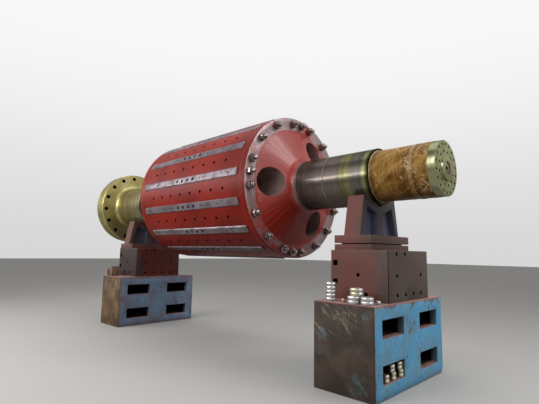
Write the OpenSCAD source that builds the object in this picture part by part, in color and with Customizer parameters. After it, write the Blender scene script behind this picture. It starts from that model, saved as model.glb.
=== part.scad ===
// Rotor of a hydroelectric generator, lying in the vee blocks of two shop stands.
// X runs along the rotor's axis towards the drilled shaft end, Z is up, and the floor is at z = 0.
// Angles on the rotor are seen from the drilled shaft end, counter-clockwise from the +Y side.

/* [Rotor body] */
// Diameter of the rotor body
body_d = 2000; // [1900:10:2080]
// Length of the rotor body between its end discs
body_l = 2370; // [2340:10:2500]
// Place of the rotor body's middle along the axis
body_x = 115; // [80:5:150]
// Number of poles round the rotor
pole_n = 16; // [14:1:18]
// Angle of the first row of clamp rods and radial holes
row_angle = 5; // [0:1:10]
// Width of metal between the drilled shaft and the lightening bores
bore_in_land = 65; // [50:1:80]
// Width of metal between the lightening bores and the cone's rim
bore_out_land = 25; // [10:1:40]
// Number of lightening bores
bore_n = 3; // [2:1:4]
// Diameter of the radial holes between the poles
radial_hole_d = 44; // [30:1:50]
// Depth of the radial holes
radial_hole_depth = 36; // [20:1:40]
// Distance between the radial holes in a row
radial_hole_pitch = 250; // [200:5:270]
// Number of radial holes in a row
radial_hole_n = 8; // [4:1:8]

/* [Pole seat bars] */
// Distance from a seat bar's ends to the body's ends
seat_inset = 25; // [20:1:80]
// Width of a seat bar
seat_w = 112; // [100:2:130]
// Thickness of a seat bar
seat_t = 38; // [30:1:44]
// Depth of the flat slot under a seat bar, below the body's surface
seat_depth = 25; // [18:1:28]
// Width of the bevel along a seat bar's edges
seat_bevel = 12; // [6:1:18]
// Diameter of the four large holes in a seat bar
seat_hole_d = 46; // [30:1:56]
// Distance between the large holes in a seat bar
seat_hole_pitch = 130; // [80:5:140]
// Diameter of the small holes in a seat bar
seat_pin_d = 20; // [12:1:26]
// Distances of the small holes from the middle of a seat bar
seat_pin_x = [370, 435, 500, 750, 990];

/* [End discs] */
// Thickness of the end discs
disc_t = 120; // [90:5:150]
// Distance from the clamp rods' circle in to the rim of the cone
cone_rim = 100; // [70:1:120]
// Slope of the cone towards the shaft, in degrees
cone_slope = 21.6; // [15:0.1:26]
// Radius of the fillet between the cone and the shaft
cone_fillet = 100; // [40:5:140]
// Length of plain neck between such a fillet and the shaft's joint
neck_land = 20; // [10:1:40]

/* [Clamp rods] */
// Distance from the body's surface in to the clamp rods' circle
rod_rim = 80; // [70:1:100]
// Diameter of the clamp rods
rod_d = 60; // [48:1:62]
// Clearance between a clamp rod and its hole, on the radius
rod_gap = 2; // [0.5:0.5:2]
// Length of rod that stands out of each end disc
rod_out = 104; // [90:2:140]
// Width of the rod nuts across their flats
nut_w = 98; // [90:1:100]
// Height of the rod nuts
nut_h = 62; // [40:1:80]
// Number of extra rods set at the pole seats
extra_rod_n = 4; // [2:2:4]

/* [Drilled shaft] */
// Diameter of the drilled shaft where it lies in its vee block
shaft_d = 680; // [660:2:700]
// Place of the drilled shaft's end
near_end_x = 3530; // [3450:5:3600]
// Height of the shaft's step down to the journal
journal_step = 35; // [20:1:60]
// Length of the journal
journal_l = 765; // [680:5:770]
// Place of the scribed groove on the shaft
groove_x = 2128; // [2000:1:2250]
// Width of the scribed groove
groove_w = 6; // [3:1:10]
// Depth of the scribed groove
groove_depth = 2; // [1:0.5:4]
// Distance from the journal's surface in to the circle of outer tapped holes
outer_hole_rim = 39; // [30:1:50]
// Number of outer tapped holes
outer_hole_n = 18; // [12:2:20]
// Angle of the first outer tapped hole
outer_hole_angle = 9.5; // [0:0.5:20]
// Radius of the circle of inner tapped holes
inner_hole_r = 186; // [175:1:200]
// Number of inner tapped holes
inner_hole_n = 12; // [8:2:14]
// Angle of the first inner tapped hole
inner_hole_angle = 15; // [0:0.5:30]
// Diameter of the tapped holes in the shaft's end
end_hole_d = 30; // [20:1:36]
// Depth of the tapped holes in the shaft's end
end_hole_depth = 70; // [40:5:100]
// Diameter of the raised boss in the middle of the shaft's end
boss_d = 274; // [240:2:290]
// Height of the boss above the shaft's end face
boss_h = 20; // [10:1:30]
// Diameter of the centre plug
plug_d = 150; // [120:2:156]
// Thickness of the centre plug
plug_t = 60; // [40:5:90]
// Depth of the centre plug's face below the boss's face
plug_sunk = 14; // [4:1:25]
// Diameter of the centre hole in the plug
plug_hole_d = 52; // [40:1:60]
// Diameter of the small hole beside it
plug_vent_d = 16; // [10:1:20]
// Distance of the small hole below the centre
plug_vent_r = 48; // [45:1:55]

/* [Journal wrapping] */
// Thickness of the waxed film round the journal
wrap_t = 4; // [2:0.5:6]
// Length of bare journal left at the shaft's end
bare_l = 82; // [60:1:120]
// Thickness of the tape band over the film
tape_t = 2; // [1:0.5:4]
// Width of the tape band
tape_w = 44; // [20:1:60]
// Distance from the shaft's end back to the tape band's middle
tape_back = 270; // [180:5:400]

/* [Coupling end] */
// Place of the coupling flange's outer face
far_end_x = -3550; // [-3600:5:-3460]
// Diameter of the coupling flange
flange_d = 1470; // [1440:10:1500]
// Thickness of the coupling flange
flange_t = 265; // [200:5:280]
// Bevel round the coupling flange
flange_bevel = 10; // [4:1:20]
// Number of coupling bolt holes
coupling_hole_n = 16; // [12:2:18]
// Distance from the flange's rim in to the circle of coupling bolt holes
coupling_rim = 85; // [75:1:95]
// Diameter of the coupling bolt holes
coupling_hole_d = 80; // [60:1:90]
// Radius of the fillet between the coupling flange and the far journal
neck_fillet = 76; // [60:2:90]
// Diameter of the spigot recess in the flange's outer face
spigot_d = 520; // [400:10:600]
// Depth of the spigot recess
spigot_depth = 16; // [8:1:24]
// Height of the shoulder from the far journal down to the shaft beside the rotor body
shoulder_h = 49; // [30:1:60]
// Place of that shoulder
shoulder_x = -2360; // [-2400:5:-2320]

/* [Vee blocks] */
// Length of a vee block along the rotor
vee_l = 208; // [180:2:220]
// Slope of the vee's faces from level, in degrees
vee_slope = 21.5; // [18:0.5:26]
// Clearance between the shaft and the vee's faces
vee_gap = 0.3; // [0.2:0.1:1]
// Half width of the vee where its faces end
vee_open = 280; // [240:5:300]
// Half width of the vee block at its top
vee_top_w = 357; // [340:1:380]
// Half width of the vee block and of its foot
vee_foot_w = 450; // [430:1:470]
// Thickness of the arms under the vee's faces, measured upright
vee_arm = 112; // [90:2:120]
// Width of the middle stem
vee_stem = 144; // [110:2:160]
// Thickness of the outer legs, measured level
vee_leg = 62; // [45:1:75]
// Depth of the pockets on each side of the middle web
vee_pocket = 80; // [60:1:88]
// Height of the vee's bottom above the foot
vee_throat = 350.25; // [340:0.25:370]
// Height of the pockets' bottom above the foot
vee_sill = 14; // [8:1:30]
// Thickness of the foot
foot_t = 88; // [70:1:92]
// Length of the foot and of the levelling plate along the rotor
foot_l = 470; // [420:5:500]
// Thickness of the levelling plate, which lies under the near vee block alone
plate_t = 80; // [60:1:100]
// Height of the undercut round the levelling plate's top
plate_step = 14; // [8:1:18]
// Width of that undercut
plate_step_w = 60; // [30:5:90]

/* [Stand blocks] */
// Length of a base block along the rotor
base_l = 734; // [730:2:780]
// Width of a base block across the rotor
base_w = 1622; // [1600:2:1700]
// Height of a base block
base_h = 900; // [890:1:905]
// Wall thickness of a base block
base_wall = 85; // [60:1:90]
// Thickness of a base block's middle web
base_web = 80; // [60:2:120]
// Bevel on the upright corners of a base block
base_bevel = 14; // [4:1:20]
// Width of the windows in a base block
window_w = 460; // [400:5:480]
// Height of the windows
window_h = 180; // [140:5:200]
// Distance from a base block's sides to its windows
window_side = 161; // [120:1:180]
// Height of the lower window sills
base_sill = 140; // [100:5:150]
// Thickness of a base block's top
base_top = 75; // [60:1:90]
// Height of the hollow cells behind the windows
cell_h = 250; // [210:5:255]
// Length of a riser block along the rotor
riser_l = 720; // [680:2:726]
// Width of a riser block across the rotor
riser_w = 954; // [920:2:1000]
// Height of a riser block
riser_h = 546; // [540:1:550]
// Diameter of the tapped holes near a riser block's foot
riser_hole_d = 44; // [30:1:50]
// Diameter of the smaller tapped holes higher up
riser_pin_d = 42; // [30:1:44]
// Depth of the holes in a riser block
riser_hole_depth = 90; // [40:5:110]
// Distance between the holes near a riser block's foot
riser_hole_pitch = 190; // [170:5:200]
// Height of the row of holes above the base block
riser_row_z = 74; // [60:1:90]
// Height of the middle holes above the base block
riser_mid_z = 278; // [250:1:300]
// Distance of the middle holes from the block's middle
riser_mid_y = 288; // [260:1:320]
// Height of the two upper holes above the base block
riser_high_z = 510; // [490:1:515]
// Places of the holes along a riser block's narrow faces, from the block's middle
narrow_hole_x = [-98, 95];
// Side of the square pockets on the narrow faces
riser_pocket = 62; // [40:1:70]
// Distance of those pockets from the block's corner
riser_pocket_inset = 31; // [20:1:60]
// Heights of those pockets above the base block
riser_pocket_z = [192, 402];

/* [Stand places] */
// Distance from the vee block back from the shaft's step
vee_step = 27; // [10:1:60]
// Distance from the vee block back from the far shoulder
vee_shoulder = 226; // [180:1:300]
// How far the near riser block stands out beyond its vee block's middle
near_riser_shift = 92; // [60:2:110]
// How far the near base block stands out beyond its vee block's middle
near_base_shift = 104; // [60:2:120]
// The same for the far riser block, towards the rotor body
far_riser_shift = 145; // [120:5:160]
// The same for the far base block
far_base_shift = 190; // [160:5:220]

/* [Loose packing] */
// Height of a packing ring
ring_h = 40; // [30:1:42]
// Rounding of a packing ring's edges
ring_edge = 4; // [2:1:6]
// Stacks on the near ledge. Each row gives the place along the block, the distance in from its side,
// the diameter, the wall, the number of rings and the upper rings' shift.
ledge_stacks = [
    [-203, 103, 112, 26, 5, 0],
    [-38, 91, 46, 10, 1, 0],
    [102, 76, 140, 34, 4, 18],
    [252, 76, 130, 30, 2, 0],
    [307, 191, 48, 10, 1, 0]
];
// Stacks in the near window. Each row gives the place from the window's middle, the diameter, the wall,
// the number of rings and the upper rings' shift.
window_stacks = [
    [-115, 62, 15, 2, 0],
    [27, 62, 15, 4, -25],
    [185, 62, 15, 4, -24]
];
// Distance of the window's stacks in from the block's face
window_stack_inset = 4; // [2:1:20]
// Width of the two timbers on the far ledge
timber_w = 150; // [100:5:180]
// Lengths of the timbers
timber_l = [100, 84];
// Heights of the timbers
timber_h = [133, 185];
// Distance of the timbers in from the block's side
timber_inset = 61; // [20:1:100]
// Distance of the timbers in from the block's far face
timber_end = 42; // [10:1:100]
// Gap between the timbers
timber_gap = 4; // [2:1:20]

/* [Hidden] */
eps = 1;
arc_steps = 10;
pole_pitch = 360 / pole_n;
seat_angle = row_angle + pole_pitch / 2;
body_x0 = body_x - body_l / 2;
body_x1 = body_x + body_l / 2;
near_face_x = body_x1 + disc_t;
far_face_x = body_x0 - disc_t;
seat_l = body_l - 2 * seat_inset;
seat_bottom = body_d / 2 - seat_depth;
seat_corner = 14;
fit = 0.3;
rod_r = body_d / 2 - rod_rim;
rod_hole_d = rod_d + 2 * rod_gap;
rod_end_bevel = 5;
cone_r = rod_r - cone_rim;
shaft_r = shaft_d / 2;
far_journal_r = shaft_r + plate_t * cos(vee_slope);
far_shaft_r = far_journal_r - shoulder_h;
shoulder_bevel = 8;
journal_r = shaft_r - journal_step;
bore_d = cone_r - shaft_r - bore_in_land - bore_out_land;
bore_r = shaft_r + bore_in_land + bore_d / 2;
step_x = near_end_x - journal_l;
tape_x = near_end_x - tape_back;
boss_x = near_end_x + boss_h;
plug_x = boss_x - plug_sunk - plug_t;
flange_face_x = far_end_x + flange_t;
flange_neck_x = flange_face_x + neck_fillet + neck_land;
flange_r = flange_d / 2;
plate_z = base_h + riser_h;
foot_z = plate_z + plate_t;
foot_top_z = foot_z + foot_t;
vee_notch_z = foot_top_z + vee_throat;
vee_end_z = vee_notch_z + vee_open * tan(vee_slope);
axis_h = vee_notch_z + (shaft_r + vee_gap) / cos(vee_slope);
sill_z = [base_sill, base_h - base_top - cell_h];
window_y = base_w / 2 - window_side - window_w / 2;
near_vee_x = step_x - vee_step - vee_l / 2;
near_riser_x = near_vee_x + near_riser_shift;
near_base_x = near_vee_x + near_base_shift;
far_vee_x = shoulder_x - vee_shoulder - vee_l / 2;
far_riser_x = far_vee_x + far_riser_shift;
far_base_x = far_vee_x + far_base_shift;
steel = "#8d8f90";
oiled = "#8c8a4a";
red_paint = "#a33a22";
brown_paint = "#5a3631";
blue_paint = "#5d7f9c";
waxed_film = "#7a4d18";

// An arc of the given radius that rounds the corner b between the points a and c.
function rounded(a, b, c, r) =
    let (
        u = (a - b) / norm(a - b),
        v = (c - b) / norm(c - b),
        half = acos(u * v) / 2,
        centre = b + (u + v) / norm(u + v) * r / sin(half),
        p = b + u * r / tan(half),
        q = b + v * r / tan(half)
    )
    [for (i = [0 : arc_steps])
        let (w = (p - centre) * (1 - i / arc_steps) + (q - centre) * i / arc_steps)
        centre + w / norm(w) * r];

// Places its children on the rotor's axis, their own Z running along +X from the given place.
module along_axis(x = 0) {
    translate([x, 0, axis_h])
        rotate([0, 90, 0])
            children();
}

// Turns a child that lies along its own +X to an angle on the rotor.
module at_angle(angle) {
    rotate([0, 0, 90 + angle])
        children();
}

// A ring of n copies at the distance r from the axis.
module on_circle(n, r, first = 0) {
    for (i = [0 : n - 1])
        at_angle(first + i * 360 / n)
            translate([r, 0, 0])
                children();
}

// Places of all clamp rods: one between each two poles, and a few at the seats.
module at_rods() {
    on_circle(pole_n, rod_r, row_angle)
        children();
    for (i = [0 : extra_rod_n - 1])
        at_angle(seat_angle + round((i + 0.75) * pole_n / extra_rod_n) * pole_pitch)
            translate([rod_r, 0, 0])
                children();
}

module lightening_bores(x, l) {
    along_axis(x)
        on_circle(bore_n, bore_r, 180)
            cylinder(d = bore_d, h = l, $fn = 96);
}

module rod_holes(x, l) {
    along_axis(x)
        at_rods()
            cylinder(d = rod_hole_d, h = l, $fn = 32);
}

module radial_holes() {
    first = body_x - (radial_hole_n - 1) * radial_hole_pitch / 2;
    along_axis()
        for (row = [0 : pole_n - 1])
            at_angle(row_angle + row * pole_pitch)
                for (i = [0 : radial_hole_n - 1])
                    translate([body_d / 2 - radial_hole_depth, 0, first + i * radial_hole_pitch])
                        rotate([0, 90, 0])
                            cylinder(d = radial_hole_d, h = radial_hole_depth + eps, $fn = 32);
}

module seat_slots() {
    along_axis(body_x)
        for (i = [0 : pole_n - 1])
            at_angle(seat_angle + i * pole_pitch)
                translate([seat_bottom, -seat_w / 2 - fit, -seat_l / 2 - fit])
                    cube([seat_depth * 2, seat_w + 2 * fit, seat_l + 2 * fit]);
}

module rotor_body() {
    color(red_paint)
        difference() {
            along_axis(body_x0)
                cylinder(d = body_d, h = body_l, $fn = 192);
            lightening_bores(body_x0 - eps, body_l + 2 * eps);
            rod_holes(body_x0 - eps, body_l + 2 * eps);
            radial_holes();
            seat_slots();
        }
}

// A seat bar's cross-section, upright, with bevels along its upper edges.
module seat_section() {
    polygon([
        [0, -seat_w / 2],
        [0, seat_w / 2],
        [seat_t - seat_bevel, seat_w / 2],
        [seat_t, seat_w / 2 - seat_bevel],
        [seat_t, -seat_w / 2 + seat_bevel],
        [seat_t - seat_bevel, -seat_w / 2]
    ]);
}

module seat_bar() {
    difference() {
        translate([0, 0, -seat_l / 2])
            linear_extrude(seat_l)
                seat_section();
        for (i = [-1.5 : 1 : 1.5])
            translate([-eps, 0, i * seat_hole_pitch])
                rotate([0, 90, 0])
                    cylinder(d = seat_hole_d, h = seat_t + 2 * eps, $fn = 32);
        for (side = [-1, 1], x = seat_pin_x)
            translate([-eps, 0, side * x])
                rotate([0, 90, 0])
                    cylinder(d = seat_pin_d, h = seat_t + 2 * eps, $fn = 24);
        for (side = [-1, 1], edge = [-1, 1])
            translate([-eps, edge * seat_w / 2, side * seat_l / 2])
                rotate([45, 0, 0])
                    translate([0, -seat_corner / 2, -seat_corner / 2])
                        cube([seat_t + 2 * eps, seat_corner, seat_corner]);
    }
}

module pole_seat_bars() {
    color(steel)
        along_axis(body_x)
            for (i = [0 : pole_n - 1])
                at_angle(seat_angle + i * pole_pitch)
                    translate([seat_bottom, 0, 0])
                        seat_bar();
}

// How far an end disc's neck reaches from the body's end, on a shaft of the radius r.
function neck_l(r) =
    disc_t + (cone_r - r) * tan(cone_slope) + cone_fillet / tan(45 + cone_slope / 2) + neck_land;

// An end disc that rises in a cone and a fillet to the neck of a shaft of the radius r.
module end_disc(r) {
    start = [cone_r, disc_t];
    corner = [r, disc_t + (cone_r - r) * tan(cone_slope)];
    end = [r, neck_l(r)];
    rotate_extrude($fn = 144)
        polygon(concat(
            [[0, 0], [body_d / 2, 0], [body_d / 2, disc_t], start],
            rounded(start, corner, end, cone_fillet),
            [end, [0, neck_l(r)]]
        ));
}

module near_end_disc() {
    color(red_paint)
        difference() {
            along_axis(body_x1)
                end_disc(shaft_r);
            lightening_bores(body_x1 - eps, neck_l(shaft_r) + 2 * eps);
            rod_holes(body_x1 - eps, disc_t + 2 * eps);
        }
}

module far_end_disc() {
    color(red_paint)
        difference() {
            mirror([1, 0, 0])
                along_axis(-body_x0)
                    end_disc(far_shaft_r);
            lightening_bores(body_x0 - neck_l(far_shaft_r) - eps, neck_l(far_shaft_r) + 2 * eps);
            rod_holes(far_face_x - eps, disc_t + 2 * eps);
        }
}

module end_face_holes(n, r, first) {
    along_axis(near_end_x - end_hole_depth)
        on_circle(n, r, first)
            cylinder(d = end_hole_d, h = end_hole_depth + eps, $fn = 24);
}

// The socket for the centre plug, sunk into the boss.
module plug_socket() {
    along_axis(plug_x)
        cylinder(d = plug_d + 2 * fit, h = plug_t + plug_sunk + eps, $fn = 72);
}

module near_shaft() {
    neck_x = body_x1 + neck_l(shaft_r);
    groove_r = shaft_r - groove_depth;
    color(steel)
        difference() {
            along_axis()
                rotate_extrude($fn = 144)
                    polygon([
                        [0, neck_x],
                        [shaft_r, neck_x],
                        [shaft_r, groove_x - groove_w / 2],
                        [groove_r, groove_x - groove_w / 2],
                        [groove_r, groove_x + groove_w / 2],
                        [shaft_r, groove_x + groove_w / 2],
                        [shaft_r, step_x],
                        [journal_r, step_x],
                        [journal_r, near_end_x],
                        [boss_d / 2, near_end_x],
                        [boss_d / 2, boss_x],
                        [0, boss_x]
                    ]);
            end_face_holes(outer_hole_n, journal_r - outer_hole_rim, outer_hole_angle);
            end_face_holes(inner_hole_n, inner_hole_r, inner_hole_angle);
            plug_socket();
        }
}

module far_shaft() {
    neck_x = body_x0 - neck_l(far_shaft_r);
    color(oiled)
        along_axis()
            rotate_extrude($fn = 144)
                polygon([
                    [0, neck_x],
                    [far_shaft_r, neck_x],
                    [far_shaft_r, shoulder_x],
                    [far_journal_r - shoulder_bevel, shoulder_x],
                    [far_journal_r, shoulder_x - shoulder_bevel],
                    [far_journal_r, flange_neck_x],
                    [0, flange_neck_x]
                ]);
}

// The coupling flange's half section, with the journal's fillet and the spigot recess.
function coupling_section() =
    let (
        neck = [far_journal_r, flange_neck_x],
        corner = [far_journal_r, flange_face_x],
        rim = [flange_r - flange_bevel, flange_face_x]
    )
    concat(
        [[0, flange_neck_x], neck],
        rounded(neck, corner, rim, neck_fillet),
        [
            rim,
            [flange_r, flange_face_x - flange_bevel],
            [flange_r, far_end_x + flange_bevel],
            [flange_r - flange_bevel, far_end_x],
            [spigot_d / 2, far_end_x],
            [spigot_d / 2, far_end_x + spigot_depth],
            [0, far_end_x + spigot_depth]
        ]
    );

module coupling_flange() {
    color(oiled)
        difference() {
            along_axis()
                rotate_extrude($fn = 144)
                    polygon(coupling_section());
            along_axis(far_end_x - eps)
                on_circle(coupling_hole_n, flange_r - coupling_rim, row_angle)
                    cylinder(d = coupling_hole_d, h = flange_t + 2 * eps, $fn = 48);
        }
}

module clamp_rods() {
    bar = near_face_x - far_face_x + 2 * (rod_out - rod_end_bevel);
    color(steel)
        along_axis(far_face_x - rod_out)
            at_rods()
                union() {
                    translate([0, 0, rod_end_bevel])
                        cylinder(d = rod_d, h = bar, $fn = 32);
                    cylinder(d1 = rod_d - 2 * rod_end_bevel, d2 = rod_d, h = rod_end_bevel, $fn = 32);
                    translate([0, 0, rod_end_bevel + bar])
                        cylinder(d1 = rod_d, d2 = rod_d - 2 * rod_end_bevel, h = rod_end_bevel, $fn = 32);
                }
}

module rod_nut() {
    difference() {
        cylinder(d = nut_w / cos(30), h = nut_h, $fn = 6);
        translate([0, 0, -eps])
            cylinder(d = rod_d + 2 * fit, h = nut_h + 2 * eps, $fn = 32);
    }
}

module near_rod_nuts() {
    color(steel)
        along_axis(near_face_x)
            at_rods()
                rod_nut();
}

module far_rod_nuts() {
    color(steel)
        along_axis(far_face_x - nut_h)
            at_rods()
                rod_nut();
}

module centre_plug() {
    color(oiled)
        along_axis(plug_x)
            difference() {
                cylinder(d = plug_d, h = plug_t, $fn = 72);
                translate([0, 0, -eps])
                    cylinder(d = plug_hole_d, h = plug_t + 2 * eps, $fn = 48);
                at_angle(-90)
                    translate([plug_vent_r, 0, -eps])
                        cylinder(d = plug_vent_d, h = plug_t + 2 * eps, $fn = 24);
            }
}

// A thin tube round the rotor's axis.
module sleeve(x, l, inner_d, t) {
    along_axis(x)
        difference() {
            cylinder(d = inner_d + 2 * t, h = l, $fn = 96);
            translate([0, 0, -eps])
                cylinder(d = inner_d, h = l + 2 * eps, $fn = 96);
        }
}

module journal_wrap() {
    color(waxed_film)
        sleeve(step_x, journal_l - bare_l, 2 * (journal_r + fit), wrap_t);
}

module tape_band() {
    color("#c9b98a")
        sleeve(tape_x - tape_w / 2, tape_w, 2 * (journal_r + 2 * fit + wrap_t), tape_t);
}

// A plan outline with bevelled corners, for the castings.
module bevelled_plan(l, w, bevel) {
    polygon([
        [-l / 2 + bevel, -w / 2], [l / 2 - bevel, -w / 2],
        [l / 2, -w / 2 + bevel], [l / 2, w / 2 - bevel],
        [l / 2 - bevel, w / 2], [-l / 2 + bevel, w / 2],
        [-l / 2, w / 2 - bevel], [-l / 2, -w / 2 + bevel]
    ]);
}

// A hollow casting whose windows open towards the drilled shaft end only.
module base_block(x) {
    cell_l = base_l - 2 * base_wall;
    cell_w = (base_w - base_web) / 2 - base_wall;
    color(blue_paint)
        translate([x, 0, 0])
            difference() {
                linear_extrude(base_h)
                    bevelled_plan(base_l, base_w, base_bevel);
                for (side = [-1, 1], z = sill_z) {
                    translate([0, side * (base_web + cell_w) / 2, z + cell_h / 2])
                        cube([cell_l, cell_w, cell_h], center = true);
                    translate([(base_l - base_wall) / 2, side * window_y, z + window_h / 2])
                        cube([base_wall + 2 * eps, window_w, window_h], center = true);
                }
            }
}

// A blind hole that runs in from one of the riser block's broad faces.
module broad_face_hole(side, y, z, d) {
    translate([side * riser_l / 2, y, z])
        rotate([0, -side * 90, 0])
            translate([0, 0, -eps])
                cylinder(d = d, h = riser_hole_depth + eps, $fn = 32);
}

// A blind hole that runs in from one of its narrow faces.
module narrow_face_hole(side, x, z, d) {
    translate([x, side * riser_w / 2, z])
        rotate([side * 90, 0, 0])
            translate([0, 0, -eps])
                cylinder(d = d, h = riser_hole_depth + eps, $fn = 32);
}

module riser_block(x) {
    pocket_x = -riser_l / 2 + riser_pocket_inset + riser_pocket / 2;
    color(brown_paint)
        translate([x, 0, base_h])
            difference() {
                linear_extrude(riser_h)
                    bevelled_plan(riser_l, riser_w, base_bevel / 2);
                for (side = [-1, 1]) {
                    for (i = [-1.5 : 1 : 1.5])
                        broad_face_hole(side, i * riser_hole_pitch, riser_row_z, riser_hole_d);
                    for (y = [-riser_mid_y, riser_mid_y])
                        broad_face_hole(side, y, riser_mid_z, riser_pin_d);
                    for (y = [-riser_mid_y, -riser_mid_y + riser_hole_pitch])
                        broad_face_hole(side, y, riser_high_z, riser_pin_d);
                    for (hole_x = narrow_hole_x)
                        narrow_face_hole(side, hole_x, riser_row_z, riser_hole_d);
                    narrow_face_hole(side, 0, riser_mid_z, riser_pin_d);
                    for (z = riser_pocket_z)
                        translate([pocket_x, side * riser_w / 2, z])
                            cube([riser_pocket, 2 * riser_pocket, riser_pocket], center = true);
                }
            }
}

module levelling_plate(x) {
    color(brown_paint)
        translate([x, 0, plate_z])
            union() {
                translate([-foot_l / 2, -vee_foot_w, 0])
                    cube([foot_l, 2 * vee_foot_w, plate_t - plate_step]);
                translate([plate_step_w - foot_l / 2, plate_step_w - vee_foot_w, plate_t - plate_step - eps])
                    cube([foot_l - 2 * plate_step_w, 2 * (vee_foot_w - plate_step_w), plate_step + eps]);
            }
}

// Half width of the vee block at a height.
function leg_y(z) =
    vee_foot_w - (vee_foot_w - vee_top_w) * (z - foot_top_z) / (vee_end_z - foot_top_z);

// One pocket's outline, on the +Y side of the stem.
module vee_pocket_outline() {
    stem = vee_stem / 2;
    low = foot_top_z + vee_sill;
    arm_z = vee_notch_z - vee_arm;
    polygon([
        [stem, low],
        [leg_y(low) - vee_leg, low],
        [vee_open, arm_z + vee_open * tan(vee_slope)],
        [stem, arm_z + stem * tan(vee_slope)]
    ]);
}

module vee_outline() {
    polygon([
        [-leg_y(foot_top_z), foot_top_z - eps],
        [leg_y(foot_top_z), foot_top_z - eps],
        [vee_top_w, vee_end_z],
        [vee_open, vee_end_z],
        [0, vee_notch_z],
        [-vee_open, vee_end_z],
        [-vee_top_w, vee_end_z]
    ]);
}

// Stands an outline drawn in Y and Z upright and gives it a thickness along X.
module across(x, l) {
    translate([x, 0, 0])
        rotate([90, 0, 90])
            linear_extrude(l)
                children();
}

module vee_block(x) {
    color(brown_paint)
        difference() {
            union() {
                across(x - vee_l / 2, vee_l)
                    vee_outline();
                translate([x - foot_l / 2, -vee_foot_w, foot_z])
                    cube([foot_l, 2 * vee_foot_w, foot_t]);
            }
            for (side = [-1, 1], face = [-1, 1])
                across(face > 0 ? x + vee_l / 2 - vee_pocket : x - vee_l / 2 - eps, vee_pocket + eps)
                    scale([side, 1])
                        vee_pocket_outline();
        }
}

module packing_ring(x, y, z, d, wall) {
    translate([x, y, z])
        rotate_extrude($fn = 48)
            polygon([
                [d / 2 - wall, 0],
                [d / 2 - ring_edge, 0],
                [d / 2, ring_edge],
                [d / 2, ring_h - ring_edge],
                [d / 2 - ring_edge, ring_h],
                [d / 2 - wall, ring_h]
            ]);
}

// One tier of the rings that stand on the near base block's ledge and in its lower window.
// The rings above the second tier stand a little off the lower ones.
module packing_tier(tier) {
    rise = (tier - 1) * ring_h;
    upper = tier > 2 ? 1 : 0;
    color(steel) {
        for (s = ledge_stacks)
            if (tier <= s[4])
                packing_ring(
                    near_base_x + s[0] + upper * s[5],
                    s[1] - base_w / 2 + upper * s[5],
                    base_h + rise,
                    s[2],
                    s[3]
                );
        for (s = window_stacks)
            if (tier <= s[3])
                packing_ring(
                    near_base_x + base_l / 2 - window_stack_inset - s[1] / 2,
                    s[0] - window_y + upper * s[4],
                    base_sill + rise,
                    s[1],
                    s[2]
                );
    }
}

module packing_tier_1() {
    packing_tier(1);
}

module packing_tier_2() {
    packing_tier(2);
}

module packing_tier_3() {
    packing_tier(3);
}

module packing_tier_4() {
    packing_tier(4);
}

module packing_tier_5() {
    packing_tier(5);
}

module timber_blocks() {
    low_x = far_base_x - base_l / 2 + timber_end;
    tall_x = low_x + timber_l[0] + timber_gap;
    y = timber_inset - base_w / 2;
    color("#8a5f3d") {
        translate([low_x, y, base_h])
            cube([timber_l[0], timber_w, timber_h[0]]);
        translate([tall_x, y, base_h])
            cube([timber_l[1], timber_w, timber_h[1]]);
    }
}

module near_base_block() {
    base_block(near_base_x);
}

module near_riser_block() {
    riser_block(near_riser_x);
}

module near_levelling_plate() {
    levelling_plate(near_vee_x);
}

module near_vee_block() {
    vee_block(near_vee_x);
}

module far_base_block() {
    base_block(far_base_x);
}

module far_riser_block() {
    riser_block(far_riser_x);
}

// The far vee block stands straight on its riser, and the thicker journal lies as much lower in it.
module far_vee_block() {
    translate([0, 0, -plate_t])
        vee_block(far_vee_x);
}

rotor_body();
pole_seat_bars();
near_end_disc();
near_shaft();
far_end_disc();
far_shaft();
coupling_flange();
clamp_rods();
near_rod_nuts();
far_rod_nuts();
centre_plug();
journal_wrap();
tape_band();
near_base_block();
near_riser_block();
near_levelling_plate();
near_vee_block();
far_base_block();
far_riser_block();
far_vee_block();
packing_tier_1();
packing_tier_2();
packing_tier_3();
packing_tier_4();
packing_tier_5();
timber_blocks();
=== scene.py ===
"""Dresses a generator rotor and the two stands it lies on, and lights them for a picture.

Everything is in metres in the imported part's frame: X runs along the rotor towards its drilled end, Z runs up,
and the floor is at zero.
"""

import logging
import math
import random
from collections.abc import Callable, Iterable, Sequence
from dataclasses import dataclass, field, replace
from enum import Enum
from typing import Union

import bmesh
import bpy
from mathutils import Matrix, Vector, noise

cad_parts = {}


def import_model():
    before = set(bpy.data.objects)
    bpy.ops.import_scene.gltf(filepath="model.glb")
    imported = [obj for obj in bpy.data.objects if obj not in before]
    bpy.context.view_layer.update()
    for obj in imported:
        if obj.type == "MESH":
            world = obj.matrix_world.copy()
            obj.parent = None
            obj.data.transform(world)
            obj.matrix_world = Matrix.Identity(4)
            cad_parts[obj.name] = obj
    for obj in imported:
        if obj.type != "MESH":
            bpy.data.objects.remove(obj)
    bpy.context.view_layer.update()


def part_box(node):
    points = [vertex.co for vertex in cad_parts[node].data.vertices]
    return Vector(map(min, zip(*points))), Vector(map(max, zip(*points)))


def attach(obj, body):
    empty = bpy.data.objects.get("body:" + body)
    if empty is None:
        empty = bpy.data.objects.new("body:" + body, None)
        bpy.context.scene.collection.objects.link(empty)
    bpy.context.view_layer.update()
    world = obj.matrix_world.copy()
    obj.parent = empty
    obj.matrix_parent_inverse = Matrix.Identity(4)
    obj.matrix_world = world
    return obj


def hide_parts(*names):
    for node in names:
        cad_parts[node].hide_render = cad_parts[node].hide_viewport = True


log = logging.getLogger("rotor")

Colour = tuple[float, float, float, float]
Triple = tuple[float, float, float]
Value = Union["Wire", float, Sequence[float]]
Look = dict[str, Value]

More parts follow.
